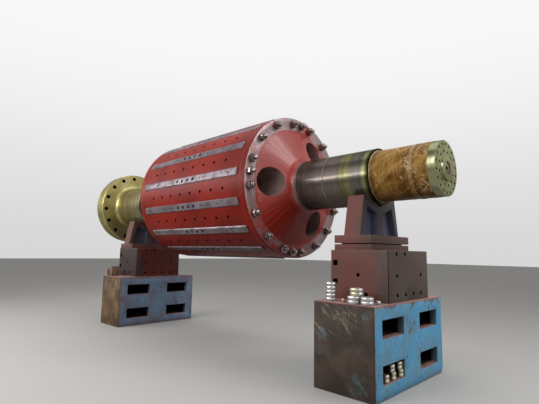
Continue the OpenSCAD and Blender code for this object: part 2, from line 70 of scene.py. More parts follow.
AXIS_HEIGHT = 2.33
BORE_PLACES = ((-0.6, 2.33), (0.3, 2.33 - 0.5196), (0.3, 2.33 + 0.5196))
BORE_RADIUS = 0.195
POLE_PITCH = 22.5
EDGE_TINT = (0.3, 0.28, 0.26, 1.0)
NUMBER = "NodeSocketFloat"
VECTOR = "NodeSocketVector"


class Body(Enum):
    """The two moving bodies of the part."""

    STANDS = "stands"
    ROTOR = "rotor"


def srgb(red: int, green: int, blue: int) -> Colour:
    """Turns a colour as seen on a screen, 0 to 255, into the linear one that shaders use."""
    shares = (part / 255 for part in (red, green, blue))
    return (*(c / 12.92 if c <= 0.04045 else ((c + 0.055) / 1.055) ** 2.4 for c in shares), 1.0)


class Wire:
    """A value in a node tree. Its sums, differences, products and quotients become Math nodes."""

    def __init__(self, tree: "Tree", socket: bpy.types.NodeSocket) -> None:
        """Keeps the output socket and the tree that it is in."""
        self.tree = tree
        self.socket = socket

    def __add__(self, other: Value) -> "Wire":
        """Adds another value."""
        return self.tree.math("ADD", self, other)

    def __sub__(self, other: Value) -> "Wire":
        """Takes another value away."""
        return self.tree.math("SUBTRACT", self, other)

    def __rsub__(self, other: Value) -> "Wire":
        """Takes the value away from another one."""
        return self.tree.math("SUBTRACT", other, self)

    def __mul__(self, other: Value) -> "Wire":
        """Multiplies by another value."""
        return self.tree.math("MULTIPLY", self, other)

    def __truediv__(self, other: Value) -> "Wire":
        """Divides by another value."""
        return self.tree.math("DIVIDE", self, other)

    __radd__ = __add__
    __rmul__ = __mul__

    def clamped(self) -> "Wire":
        """Keeps the value, which comes from a Math node, from 0 to 1."""
        self.socket.node.use_clamp = True
        return self

    def step(self, *ends: Value) -> "Wire":
        """Turns the range between the first two ends into a soft step between the last two."""
        node = self.tree.add("MapRange", self, *ends, interpolation_type="SMOOTHSTEP")
        return Wire(self.tree, node.outputs[0])

    def ramp(self, low: float, high: float) -> "Wire":
        """Gives a soft step from 0 at one end to 1 at the other, which may be the lower of the two."""
        return self.step(low, high, 0.0, 1.0) if low <= high else self.step(high, low, 1.0, 0.0)


class Tree:
    """Lays out the nodes of a material, a world or a node group."""

    def __init__(self, tree: bpy.types.NodeTree, source: bpy.types.Node | None = None) -> None:
        """Keeps the tree that is being laid out, and the node that gives a group's inputs."""
        self.tree = tree
        self.source = source

    def __getitem__(self, name: str) -> Wire:
        """Gives one of a group's inputs."""
        return Wire(self, self.source.outputs[name])

    def add(self, kind: str, *inputs: Value, **settings: object) -> bpy.types.Node:
        """Adds a node, sets its options and fills its first inputs.

        Args:
            kind: The node's type name without its Shader prefix.
            inputs: What its first inputs get.
            settings: Options to set on it.

        Returns:
            The new node.
        """
        node = self.tree.nodes.new("ShaderNode" + kind)
        for key, value in settings.items():
            setattr(node, key, value)
        for socket, value in zip(node.inputs, inputs):
            self.feed(socket, value)
        return node

    def feed(self, socket: bpy.types.NodeSocket, value: Value) -> None:
        """Links an input to a wire, or sets its plain value.

        Args:
            socket: The input.
            value: What it gets.
        """
        if isinstance(value, Wire):
            self.tree.links.new(value.socket, socket)
        else:
            socket.default_value = value

    def fill(self, node: bpy.types.Node, **given: Value) -> bpy.types.Node:
        """Fills a node's inputs by name.

        Args:
            node: The node.
            given: What its inputs get.

        Returns:
            The same node.
        """
        for name, value in given.items():
            self.feed(node.inputs[name], value)
        return node

    def place(self) -> Wire:
        """Gives the Object coordinates."""
        return Wire(self, self.add("TexCoord").outputs["Object"])

    def facing(self) -> Wire:
        """Gives the surface's direction, which turns with the piece."""
        return Wire(self, self.add("TexCoord").outputs["Normal"])

    def split(self, vector: Value) -> tuple[Wire, ...]:
        """Gives a vector's X, Y and Z."""
        return tuple(Wire(self, socket) for socket in self.add("SeparateXYZ", vector).outputs)

    def join(self, x: Value, y: Value, z: Value) -> Wire:
        """Makes a vector of three values."""
        return Wire(self, self.add("CombineXYZ", x, y, z).outputs[0])

    def math(self, operation: str, *values: Value) -> Wire:
        """Works out a number with a Math node's operation."""
        return Wire(self, self.add("Math", *values, operation=operation).outputs[0])

    def vector(self, operation: str, *values: Value) -> Wire:
        """Works out a vector, or the number that a length, distance or dot product gives."""
        result = "Value" if operation in ("LENGTH", "DISTANCE", "DOT_PRODUCT") else "Vector"
        return Wire(self, self.add("VectorMath", *values, operation=operation).outputs[result])

    def stretched(self, vector: Value, *scale: float) -> Wire:
        """Scales a vector along X, Y and Z."""
        return self.vector("MULTIPLY", vector, scale)

    def mix(self, factor: Value, low: Value, high: Value, kind: str = "RGBA") -> Wire:
        """Mixes two colours, or two numbers.

        Args:
            factor: How much of the second there is.
            low: The first one.
            high: The second one.
            kind: RGBA for colours or FLOAT for numbers.

        Returns:
            The mixture.
        """
        node = self.add("Mix", factor, data_type=kind)
        first, second, result = (6, 7, 2) if kind == "RGBA" else (2, 3, 0)
        self.feed(node.inputs[first], low)
        self.feed(node.inputs[second], high)
        return Wire(self, node.outputs[result])

    def layered(self, colour: Value, *coats: tuple[Wire, float, Colour]) -> Wire:
        """Lays colours over one another, each through its own mask.

        Args:
            colour: The lowest colour.
            coats: The others, each as its mask, the mask's strength and its colour.

        Returns:
            The colour that shows.
        """
        for mask, strength, coat in coats:
            colour = self.mix(mask * strength, colour, coat)
        return colour

    def noise(
        self, vector: Value, scale: Value, detail: float = 3.0, rough: float = 0.5, bend: float = 0.0,
    ) -> Wire:
        """Gives soft noise from 0 to 1.

        Args:
            vector: Where it is read.
            scale: Its lumps per metre.
            detail: Its number of finer layers.
            rough: How strong those are.
            bend: How much it is warped.

        Returns:
            The noise value.
        """
        node = self.add("TexNoise")
        self.fill(node, Vector=vector, Scale=scale, Detail=detail, Roughness=rough, Distortion=bend)
        return Wire(self, node.outputs[0])

    def use(self, effect: "type[Effect]", vector: Value, **given: Value) -> tuple[Wire, ...]:
        """Places a shared effect, read at a vector, and gives all its outputs."""
        node = self.fill(self.add("Group", node_tree=effect.group()), Vector=vector, **given)
        return tuple(Wire(self, socket) for socket in node.outputs)

    def mask(self, effect: "type[Effect]", vector: Value, **given: Value) -> Wire:
        """Places a shared effect, read at a vector, and gives its first output."""
        return self.use(effect, vector, **given)[0]

    def creased_cells(self, vector: Value, scale: float) -> Wire:
        """Gives thin lines between irregular cells, as in crumpled foil.

        Args:
            vector: Where it is read.
            scale: Its cells per metre.

        Returns:
            The lines' mask.
        """
        lumps = self.fill(self.add("TexNoise"), Vector=vector, Scale=scale * 0.8)
        shake = self.stretched(Wire(self, lumps.outputs[1]), 0.03, 0.03, 0.03)
        cells = self.add("TexVoronoi", feature="DISTANCE_TO_EDGE")
        self.fill(cells, Vector=self.vector("ADD", vector, shake), Scale=scale)
        return Wire(self, cells.outputs["Distance"]).ramp(0.07, 0.0)

    def closeness(self, place: Value, spots: "Iterable[Spot]", strength: float) -> Value:
        """Gives how close a point is to any of some spots.

        Args:
            place: Where the point is.
            spots: The spots.
            strength: What it gives in the middle of a spot.

        Returns:
            The strength in the middle of a spot, falling to 0 at its reach.
        """
        total: Value = 0.0
        for spot in spots:
            away = self.vector("DISTANCE", place, (spot.x, spot.y, spot.z))
            total = self.math("MAXIMUM", total, away.ramp(spot.reach, spot.reach * 0.3))
        return total * strength

    def over_the_top(self, colour: Value, place: Wire, line: Colour, start: float) -> Wire:
        """Lays the top face's colour over the edge, raggedly, from a height called the start."""
        height = self.split(place)[2] + self.noise(place, 26.0, 3.0, 0.6) * 0.014
        return self.mix(height.ramp(start, start + 0.008), colour, line)

    def bump(self, height: Value, strength: float, distance: float) -> Wire:
        """Turns a height from 0 to 1, which stands for a distance, into a normal."""
        node = self.fill(self.add("Bump"), Strength=strength, Distance=distance, Height=height)
        return Wire(self, node.outputs[0])


class Effect:
    """A shader node group that several finishes share, built once. An input without a number is a vector."""

    title = ""
    inputs: dict[str, float | None] = {}
    outputs: dict[str, str] = {"Mask": NUMBER}

    @classmethod
    def lay_out(cls, tree: Tree) -> tuple[Wire, ...]:
        """Lays out the group's nodes in its tree, and gives what feeds its outputs."""
        raise NotImplementedError

    @classmethod
    def group(cls) -> bpy.types.NodeTree:
        """Gives the group, built on its first use.

        Returns:
            The group.
        """
        found = bpy.data.node_groups.get(cls.title)
        if found is not None:
            return found
        made = bpy.data.node_groups.new(cls.title, "ShaderNodeTree")
        for name, value in cls.inputs.items():
            kind = VECTOR if value is None else NUMBER
            socket = made.interface.new_socket(name=name, in_out="INPUT", socket_type=kind)
            if value is not None:
                socket.default_value = value
        for name, kind in cls.outputs.items():
            made.interface.new_socket(name=name, in_out="OUTPUT", socket_type=kind)
        tree = Tree(made, made.nodes.new("NodeGroupInput"))
        sink = made.nodes.new("NodeGroupOutput")
        tree.fill(sink, **dict(zip(cls.outputs, cls.lay_out(tree))))
        return made


class Patches(Effect):
    """Ragged patches, as of chipped paint, rust or dried oil."""

    title = "Ragged patches"
    inputs = {"Vector": None, "Scale": 6.0, "Cover": 0.3, "Edge": 0.03, "Push": 0.0}

    @classmethod
    def lay_out(cls, tree: Tree) -> tuple[Wire, ...]:
        """Sums a coarse and a fine noise, and cuts them at the cover's level.

        Args:
            tree: The group's tree.

        Returns:
            The patches' mask.
        """
        coarse = tree.noise(tree["Vector"], tree["Scale"], 6.0, 0.62, 0.3)
        fine = tree.noise(tree["Vector"], tree["Scale"] * 7.3, 4.0, 0.6)
        level = 0.78 - tree["Cover"] * 0.55 - tree["Push"]
        lumps = coarse * 0.72 + fine * 0.28
        return (lumps.step(level - tree["Edge"], level + tree["Edge"], 0.0, 1.0),)


class AxisPlace(Effect):
    """Where a point lies on the rotor: along the axis, away from it, and in which direction."""

    title = "Place on the rotor"
    inputs = {"Vector": None}
    outputs = {"Along": NUMBER, "Radius": NUMBER, "Direction": VECTOR}

    @classmethod
    def lay_out(cls, tree: Tree) -> tuple[Wire, ...]:
        """Measures along the axis and away from it.

        Args:
            tree: The group's tree.

        Returns:
            The place along the axis, the radius and the outward direction.
        """
        x, y, z = tree.split(tree["Vector"])
        spoke = tree.join(0.0, y, z - AXIS_HEIGHT)
        return x, tree.vector("LENGTH", spoke), tree.vector("NORMALIZE", spoke)


class TurnedLines(Effect):
    """The fine rings that a lathe tool leaves round the rotor's axis."""

    title = "Turned lines"
    inputs = {"Vector": None, "Rings": 160.0, "Wander": 1.0}
    outputs = {"Fine": NUMBER, "Broad": NUMBER}

    @classmethod
    def lay_out(cls, tree: Tree) -> tuple[Wire, ...]:
        """Reads noise that is tight along the axis and wide around it.

        Args:
            tree: The group's tree.

        Returns:
            A fine and a broad set of lines, from 0 to 1.
        """
        x, y, z = tree.split(tree["Vector"])
        around = [side * tree["Wander"] for side in (y, z)]
        fine = tree.noise(tree.join(x * tree["Rings"], *around), 1.0, 3.0, 0.7)
        broad = tree.noise(tree.join(x * (tree["Rings"] * 0.13), *around), 1.0, 3.0, 0.6)
        return fine, broad


class BoxEdges(Effect):
    """How near a point on a block is to one of the block's outer edges."""

    title = "Distance from the block's edges"
    inputs = {"Vector": None, "Middle": None, "Half": None, "Reach": 0.03}

    @classmethod
    def lay_out(cls, tree: Tree) -> tuple[Wire, ...]:
        """Takes the middle one of the distances from the block's three pairs of faces.

        Args:
            tree: The group's tree.

        Returns:
            1 on an edge, falling to 0 at the reach.
        """
        away = tree.vector("ABSOLUTE", tree.vector("SUBTRACT", tree["Vector"], tree["Middle"]))
        a, b, c = tree.split(tree.vector("SUBTRACT", tree["Half"], away))
        higher = tree.math("MINIMUM", tree.math("MAXIMUM", a, b), c)
        middle = tree.math("MAXIMUM", tree.math("MINIMUM", a, b), higher)
        return ((1.0 - middle / tree["Reach"]).clamped(),)


class Runs(Effect):
    """Upright streaks, as of dirty water or oil that has run down."""

    title = "Runs down a face"
    inputs = {"Vector": None, "Scale": 14.0, "Cover": 0.4}

    @classmethod
    def lay_out(cls, tree: Tree) -> tuple[Wire, ...]:
        """Stretches noise down the face.

        Args:
            tree: The group's tree.

        Returns:
            The streaks' mask.
        """
        streaks = tree.noise(tree.stretched(tree["Vector"], 1.0, 1.0, 0.07), tree["Scale"], 4.0, 0.6, 0.2)
        broken = tree.noise(tree["Vector"], 3.0, 3.0, 0.5)
        level = 0.72 - tree["Cover"] * 0.4
        return (((streaks * 0.7 + broken * 0.3 - level) / 0.16).clamped(),)


class Settled(Effect):
    """Dust that has settled on what faces up."""

    title = "Settled dust"
    inputs = {"Vector": None, "Facing": None, "Scale": 5.0}

    @classmethod
    def lay_out(cls, tree: Tree) -> tuple[Wire, ...]:
        """Takes faces that look up, broken by noise."""
        lumps = tree.noise(tree["Vector"], tree["Scale"], 6.0, 0.65).ramp(0.3, 0.75)
        return (tree.split(tree["Facing"])[2].ramp(0.25, 0.95) * lumps,)


@dataclass(frozen=True)
class Spot:
    """A place that is painted, scraped or dripped on more than the rest, and how far that reaches."""

    x: float
    y: float
    z: float
    reach: float


@dataclass(frozen=True)
class Finish:
    """A surface finish, with the name of its material."""

    name: str

    def shade(self, tree: Tree) -> Look:
        """Lays out the finish's nodes in its material's tree, and gives what feeds the Principled shader."""
        raise NotImplementedError

    def material(self) -> bpy.types.Material:
        """Gives the finish's material, made on its first use.

        Returns:
            The material.
        """
        found = bpy.data.materials.get(self.name)
        if found is None:
            found = bpy.data.materials.new(self.name)
            found.use_nodes = True
            tree = Tree(found.node_tree)
            tree.fill(found.node_tree.nodes["Principled BSDF"], **self.shade(tree))
        return found


def sheen(level: float) -> Look:
    """Gives a metal's warm, dim reflection at its edges."""
    return {"Specular Tint": EDGE_TINT, "Specular IOR Level": level}


@dataclass(frozen=True)
class GlossPaint(Finish):
    """Sprayed gloss paint with soft clouds, orange peel, scuffs, a little dust and, on the cone, painted
    highlight streaks.
    """

    deep: Colour = srgb(100, 18, 9)
    bright: Colour = srgb(150, 38, 22)
    # Colour of the scuffs, and on the cone of the radial streaks of painted highlight.
    scuff_and_highlight: Colour = srgb(176, 104, 90)
    dust: Colour = srgb(168, 104, 90)
    gloss: float = 0.38
    specular: float = 0.14
    clear: float = 0.0
    spokes: float = 0.0

    def coat(self, tree: Tree, place: Wire) -> tuple[Wire, Wire, Wire]:
        """Lays out the paint itself, so that other finishes can lay it beside steel.

        Args:
            tree: The material's tree.
            place: Where it is read.

        Returns:
            Its colour, roughness and height.
        """
        clouds = tree.noise(place, 1.1, 4.0, 0.55, 0.4).ramp(0.32, 0.68)
        fine = tree.noise(place, 31.0, 5.0, 0.6)
        shade = (clouds * 0.72 + fine * 0.36).clamped()
        scratch = tree.noise(tree.stretched(place, 2.2, 60.0, 60.0), 1.0, 4.0, 0.7).ramp(0.64, 0.72)
        worn = scratch * tree.mask(Patches, place, Scale=3.5, Cover=0.22, Edge=0.07)
        dusty = tree.mask(Settled, place, Facing=tree.facing(), Scale=4.0)
        colour = tree.mix(shade, self.deep, self.bright)
        colour = tree.layered(colour, (worn, 0.5, self.scuff_and_highlight), (dusty, 0.1, self.dust))
        rough = self.gloss + dusty * 0.18 + fine * 0.1
        height = tree.noise(place, 240.0, 2.0, 0.5) * 0.25 + tree.noise(place, 9.0, 2.0, 0.5)
        if self.spokes:
            rays = tree.noise(tree.use(AxisPlace, place)[2], 24.0, 4.0, 0.6)
            # On the cone, pale radial streaks lighten the colour: a painted highlight; their roughness and bump
            # stand for fine radial striations.
            streaks = rays.ramp(0.4, 0.6)
            colour = tree.mix(streaks * 0.12, colour, self.scuff_and_highlight)
            rough = rough + streaks * 0.22
            height = height + rays * self.spokes
        return colour, rough, height

    def finished(self, tree: Tree, height: Wire) -> Look:
        """Gives the paint's bump and how strongly it shines."""
        shine = {"Specular IOR Level": self.specular, "Coat Weight": self.clear, "Coat Roughness": 0.16}
        return {"Normal": tree.bump(height, 0.12, 0.003), **shine}

    def shade(self, tree: Tree) -> Look:
        """Lays out plain gloss paint."""
        colour, rough, height = self.coat(tree, tree.place())
        return {"Base Color": colour, "Roughness": rough, **self.finished(tree, height)}


@dataclass(frozen=True)
class PaintToSteel(GlossPaint):
    """Gloss paint that ends raggedly on bare machined steel, at the disc's ring and on the neck."""

    deep: Colour = srgb(136, 20, 4)
    bright: Colour = srgb(172, 36, 12)
    gloss: float = 0.26
    specular: float = 0.4
    clear: float = 0.24
    steel: Colour = srgb(160, 148, 150)
    stain: Colour = srgb(116, 92, 90)
    oversprayed: tuple[Spot, ...] = ()
    bare_radius: float = 0.828
    bare_face: float = 1.4185
    neck_place: float = 1.655
    outward: float = 1.0
    spokes: float = 9.0

    def shade(self, tree: Tree) -> Look:
        """Lays paint inside the ring and bare steel on it and on the neck.

        Args:
            tree: The material's tree.

        Returns:
            What feeds the Principled shader.
        """
        place = tree.place()
        colour, rough, height = self.coat(tree, place)
        along, radius, _ = tree.use(AxisPlace, place)
        ragged = (tree.noise(place, 6.0, 5.0, 0.6) - 0.5) * 0.07
        outwards = along * self.outward
        on_face = tree.math("GREATER_THAN", outwards, self.bare_face)
        ring = on_face * (radius + ragged).ramp(self.bare_radius - 0.008, self.bare_radius + 0.012)
        neck = (outwards + ragged).ramp(self.neck_place - 0.03, self.neck_place + 0.02)
        bare = tree.math("MAXIMUM", ring, neck)
        smudge = tree.mask(Patches, place, Scale=5.0, Cover=0.4, Edge=0.1)
        sprayed = tree.closeness(place, self.oversprayed, 0.85)
        mist = tree.noise(place, 9.0, 4.0, 0.6).ramp(0.3, 0.62) * sprayed
        steel = tree.mix(tree.noise(place, 40.0, 4.0, 0.6), self.stain, self.steel)
        steel = tree.layered(steel, (smudge, 0.4, self.bright), (mist, 1.0, self.bright))
        return {
            "Base Color": tree.mix(bare, colour, steel),
            "Roughness": tree.mix(bare, rough, smudge * 0.14 + 0.4, "FLOAT"),
            "Metallic": bare * ((0.6 - smudge * 0.4) * (1.0 - mist)),
            **self.finished(tree, height),
        }


@dataclass(frozen=True)
class Band:
    """A stretch of the shaft with a colour of its own."""

    start: float
    colour: Colour


@dataclass(frozen=True)
class TurnedSteel(Finish):
    """Turned steel in bands, each with its own film of oil."""

    bands: tuple[Band, ...] = ()
    lowest: float = 0.0
    highest: float = 1.0
    soft: float = 0.007
    dark_tone: Colour = srgb(44, 33, 25)

    def colours(self, tree: Tree, along: Wire) -> Wire:
        """Lays the bands out along the axis.

        Args:
            tree: The material's tree.
            along: The place along the axis.

        Returns:
            The band's colour.
        """
        span = self.highest - self.lowest
        stops = tree.add("ValToRGB", (along - self.lowest) / span)
        elements = stops.color_ramp.elements
        elements.remove(elements[-1])
        elements[0].color = self.bands[0].colour
        for before, band in zip(self.bands, self.bands[1:]):
            for shift, colour in ((-self.soft, before.colour), (self.soft, band.colour)):
                elements.new((band.start + shift - self.lowest) / span).color = colour
        return Wire(tree, stops.outputs[0])

    def shade(self, tree: Tree) -> Look:
        """Lays out the bands, the lathe's lines and a little grime.

        Args:
            tree: The material's tree.

        Returns:
            What feeds the Principled shader.
        """
        place = tree.place()
        fine, broad = tree.use(TurnedLines, place, Rings=190.0, Wander=1.4)
        wobble = (tree.noise(place, 5.0, 3.0, 0.5) - 0.5) * 0.012
        dirt = tree.mask(Patches, place, Scale=4.0, Cover=0.2, Edge=0.08)
        colour = tree.layered(
            self.colours(tree, tree.mask(AxisPlace, place) + wobble),
            (broad.ramp(0.3, 0.75), 0.5, self.dark_tone), (fine.ramp(0.5, 0.9), 0.4, self.dark_tone),
            (dirt, 0.35, self.dark_tone),
        )
        return {
            "Base Color": colour, "Roughness": 0.19 + broad * 0.12 + dirt * 0.1, "Metallic": 0.7,
            "Normal": tree.bump(fine, 0.35, 0.0006), **sheen(0.2),
        }


@dataclass(frozen=True)
class OiledSteel(Finish):
    """Machined steel under a yellow-green film of rust-preventive oil, in places thick and in others thin."""

    thin: Colour = srgb(168, 164, 106)
    thick: Colour = srgb(118, 108, 48)
    sludge: Colour = srgb(50, 44, 20)
    cover: float = 0.3
    rough: float = 0.2
    metal: float = 0.6

    def shade(self, tree: Tree) -> Look:
        """Lays out thin oil, thick oil and sludge.

        Args:
            tree: The material's tree.

        Returns:
            What feeds the Principled shader.
        """
        place = tree.place()
        clouds = tree.noise(place, 3.2, 6.0, 0.62, 0.8).ramp(0.35, 0.65)
        dark = tree.mask(Patches, place, Scale=6.0, Cover=self.cover, Edge=0.1)
        broad = tree.use(TurnedLines, place, Rings=120.0, Wander=2.0)[1]
        colour = tree.mix(clouds, self.thin, self.thick)
        return {
            "Base Color": tree.layered(colour, (dark, 0.6, self.sludge), (broad, 0.25, self.sludge)),
            "Roughness": self.rough + dark * 0.2 + clouds * 0.1, "Metallic": self.metal,
            "Normal": tree.bump(tree.noise(place, 60.0, 4.0, 0.6), 0.12, 0.002), **sheen(0.3),
        }


@dataclass(frozen=True)
class MachinedSteel(Finish):
    """Milled or ground steel with lengthwise scratches, stains and smears of paint."""

    light: Colour = srgb(164, 156, 164)
    dark: Colour = srgb(112, 98, 100)
    smear: Colour = srgb(130, 58, 46)
    smear_cover: float = 0.14
    rough: float = 0.34
    grain: Triple = (4.0, 150.0, 150.0)
    metal: float = 0.6

    def shade(self, tree: Tree) -> Look:
        """Lays out the scratches, stains and smears.

        Args:
            tree: The material's tree.

        Returns:
            What feeds the Principled shader.
        """
        place = tree.place()
        scratches = tree.noise(tree.stretched(place, *self.grain), 1.0, 4.0, 0.7)
        stains = tree.noise(place, 6.0, 6.0, 0.6, 0.5).ramp(0.35, 0.7)
        drawn_out = tree.stretched(place, 0.6, 1.6, 1.6)
        smear = tree.mask(Patches, drawn_out, Scale=8.0, Cover=self.smear_cover, Edge=0.05)
        colour = tree.mix(scratches * 0.4 + stains * 0.6, self.light, self.dark)
        return {
            "Base Color": tree.mix(smear * 0.6, colour, self.smear), "Roughness": self.rough + stains * 0.14,
            "Metallic": self.metal - smear * (self.metal * 0.9), "Normal": tree.bump(scratches, 0.12, 0.0008),
            **sheen(0.2),
        }


@dataclass(frozen=True)
class BoltSteel(Finish):
    """Bright turned steel of nuts and rod ends, with paint sprayed over its foot and in flecks."""

    bright: Colour = srgb(168, 158, 156)
    dull: Colour = srgb(112, 96, 92)
    paint: Colour = srgb(108, 24, 15)
    face: float = 1.42
    outward: float = 1.0
    sprayed: float = 0.026

    def shade(self, tree: Tree) -> Look:
        """Lays out the steel and the paint that was sprayed over it.

        Args:
            tree: The material's tree.

        Returns:
            What feeds the Principled shader.
        """
        place = tree.place()
        stains = tree.noise(place, 34.0, 5.0, 0.6).ramp(0.35, 0.7)
        off = tree.mask(AxisPlace, place) * self.outward - self.face
        ragged = (tree.noise(place, 30.0, 4.0, 0.6) - 0.5) * 0.05
        foot = (off + ragged).ramp(self.sprayed + 0.008, self.sprayed - 0.008)
        flecks = tree.mask(Patches, place, Scale=16.0, Cover=0.3, Edge=0.05)
        covered = tree.math("MAXIMUM", foot, flecks * 0.85)
        return {
            "Base Color": tree.mix(covered * 0.9, tree.mix(stains, self.bright, self.dull), self.paint),
            "Roughness": 0.24 + covered * 0.18, "Metallic": 0.95 - covered * 0.95,
            "Normal": tree.bump(stains, 0.15, 0.0008),
        }


@dataclass(frozen=True)
class WaxedFilm(Finish):
    """Brown waxed film wound round a shaft: amber where thin, dark in its folds, pale along its creases."""

    amber: Colour = srgb(158, 120, 60)
    brown: Colour = srgb(104, 70, 30)
    dark: Colour = srgb(56, 32, 13)
    pale: Colour = srgb(214, 190, 148)
    twist: float = 2.6
    crumple_start: float = 3.16
    crumple_end: float = 3.42

    def helix(self, tree: Tree, place: Wire, turn: float) -> Wire:
        """Winds a place round the shaft, so that what is read there runs along a screw line.

        Args:
            tree: The material's tree.
            place: The place on the shaft.
            turn: How far the line turns in a metre, in radians.

        Returns:
            The wound place.
        """
        wound = tree.add("VectorRotate", rotation_type="X_AXIS")
        tree.fill(wound, Vector=place, Center=(0.0, 0.0, AXIS_HEIGHT), Angle=tree.split(place)[0] * turn)
        return Wire(tree, wound.outputs[0])

    def creases(self, tree: Tree, place: Wire, *scale: float) -> Wire:
        """Gives thin bright lines where a noise, scaled along each axis, passes its middle."""
        lumps = tree.noise(tree.stretched(place, *scale), 1.0, 2.0, 0.45, 0.4)
        return tree.math("ABSOLUTE", lumps - 0.5).ramp(0.016, 0.0)

    def all_lines(self, tree: Tree, place: Wire, wound: Wire) -> Wire:
        """Gathers the pale lines: creases along two screw lines, and knots towards the film's outer end.

        Args:
            tree: The material's tree.
            place: The place on the shaft.
            wound: The place wound along the first screw line.

        Returns:
            The lines' mask.
        """
        steep = self.helix(tree, place, -self.twist * 1.8)
        lines = self.creases(tree, wound, 1.2, 9.0, 9.0)
        lines = tree.math("MAXIMUM", lines, self.creases(tree, steep, 2.0, 7.0, 7.0))
        rare = tree.noise(place, 7.0, 3.0, 0.5).ramp(0.46, 0.6)
        along = tree.split(place)[0]
        inner = along.ramp(self.crumple_start - 0.02, self.crumple_start + 0.03)
        outer = along.ramp(self.crumple_end + 0.03, self.crumple_end - 0.03)
        knots = tree.creased_cells(place, 15.0) * tree.noise(place, 15.0, 4.0, 0.6).ramp(0.46, 0.64)
        return tree.math("MAXIMUM", lines * rare, knots * (inner * outer))

    def shade(self, tree: Tree) -> Look:
        """Lays out the film's windings, folds, creases and gloss.

        Args:
            tree: The material's tree.

        Returns:
            What feeds the Principled shader.
        """
        place = tree.place()
        wound = self.helix(tree, place, self.twist)
        hoops = tree.noise(tree.stretched(place, 70.0, 3.0, 3.0), 1.0, 4.0, 0.6, 0.3)
        folds = tree.noise(tree.stretched(wound, 3.0, 16.0, 16.0), 1.0, 5.0, 0.6, 0.5)
        clouds = tree.noise(place, 4.5, 5.0, 0.6, 0.6)
        broad = tree.noise(tree.stretched(place, 26.0, 1.6, 1.6), 1.0, 3.0, 0.55, 0.3)
        tone = (hoops * 0.2 + folds * 0.3 + broad * 0.25 + clouds * 0.25).ramp(0.42, 0.58)
        spots = tree.mask(Patches, place, Scale=7.0, Cover=0.34, Edge=0.08)
        lines = self.all_lines(tree, place, wound)
        colour = tree.mix(tone, self.brown, self.amber)
        return {
            "Base Color": tree.layered(colour, (spots, 0.55, self.dark), (lines, 0.75, self.pale)),
            "Roughness": 0.3 + clouds * 0.16, "Metallic": 0.05, **sheen(0.14),
            "Normal": tree.bump(folds * 0.8 + hoops * 0.35 + lines * 0.5, 0.4, 0.005),
        }


@dataclass(frozen=True)
class PaleFilm(Finish):
    """Pale crumpled tape or film edge over the brown film."""

    pale: Colour = srgb(206, 186, 142)
    under: Colour = srgb(132, 96, 48)
    low: float = 0.42
    high: float = 0.66

    def shade(self, tree: Tree) -> Look:
        """Lays out the pale creases over the film's own brown.

        Args:
            tree: The material's tree.

        Returns:
            What feeds the Principled shader.
        """
        creases = tree.noise(tree.stretched(tree.place(), 34.0, 22.0, 22.0), 1.0, 6.0, 0.7, 1.5)
        colour = tree.mix(creases.ramp(self.low, self.high), self.under, self.pale)
        return {"Base Color": colour, "Roughness": 0.34, "Normal": tree.bump(creases, 0.5, 0.004)}


@dataclass(frozen=True)
class OldPaint(Finish):
    """Old paint on a casting: chipped to primer, rust and iron, most of all along the edges."""

    paint: Colour = srgb(84, 168, 214)
    faded: Colour = srgb(120, 148, 144)
    primer: Colour = srgb(108, 96, 98)
    rust: Colour = srgb(84, 58, 46)
    middle: Triple = (0.0, 0.0, 0.45)
    half: Triple = (0.367, 0.811, 0.45)
    worn: float = 0.2
    chipped: float = 0.16
    faded_share: float = 0.6
    soft: float = 0.04
    bare_spots: tuple[Spot, ...] = ()
    top_line: Colour = srgb(132, 74, 66)
    top_line_from: float = 0.894

    def shade(self, tree: Tree) -> Look:
        """Lays out paint, primer, rust and the red line that has run over the top edge.

        Args:
            tree: The material's tree.

        Returns:
            What feeds the Principled shader.
        """
        place = tree.place()
        edge = tree.mask(BoxEdges, place, Middle=self.middle, Half=self.half, Reach=0.06)
        push = edge * 0.12 + tree.closeness(place, self.bare_spots, 0.13)
        clouds = tree.noise(place, 3.0, 5.0, 0.6, 0.5).ramp(0.38, 0.72)
        runs = tree.mask(Runs, place, Scale=16.0, Cover=0.42)
        chips = tree.mask(Patches, place, Scale=5.5, Cover=self.worn, Edge=self.soft, Push=push)
        aside = tree.vector("ADD", place, (3.1, 1.7, 0.4))
        deep = tree.mask(Patches, aside, Scale=10.0, Cover=self.chipped, Edge=self.soft, Push=push)
        streaky = tree.noise(tree.stretched(place, 26.0, 26.0, 6.0), 1.0, 4.0, 0.65, 0.4).ramp(0.5, 0.66)
        specks = tree.noise(place, 42.0, 5.0, 0.75).ramp(0.56, 0.62)
        low = tree.split(place)[2].ramp(0.09, 0.0)
        colour = tree.layered(
            self.paint, (clouds, self.faded_share, self.faded), (runs, 0.55, self.faded),
            (chips, 0.75, self.primer), (deep, 0.85, self.rust), (streaky, 0.42, self.primer),
            (specks, 0.6, self.rust), (low, 0.4, self.rust),
        )
        bare = tree.math("MAXIMUM", chips, deep)
        height = tree.noise(place, 90.0, 4.0, 0.6) * 0.35 - bare * 0.65
        return {
            "Base Color": tree.over_the_top(colour, place, self.top_line, self.top_line_from),
            "Roughness": 0.42 + bare * 0.28, "Specular IOR Level": 0.35,
            "Normal": tree.bump(height, 0.5, 0.0016),
        }


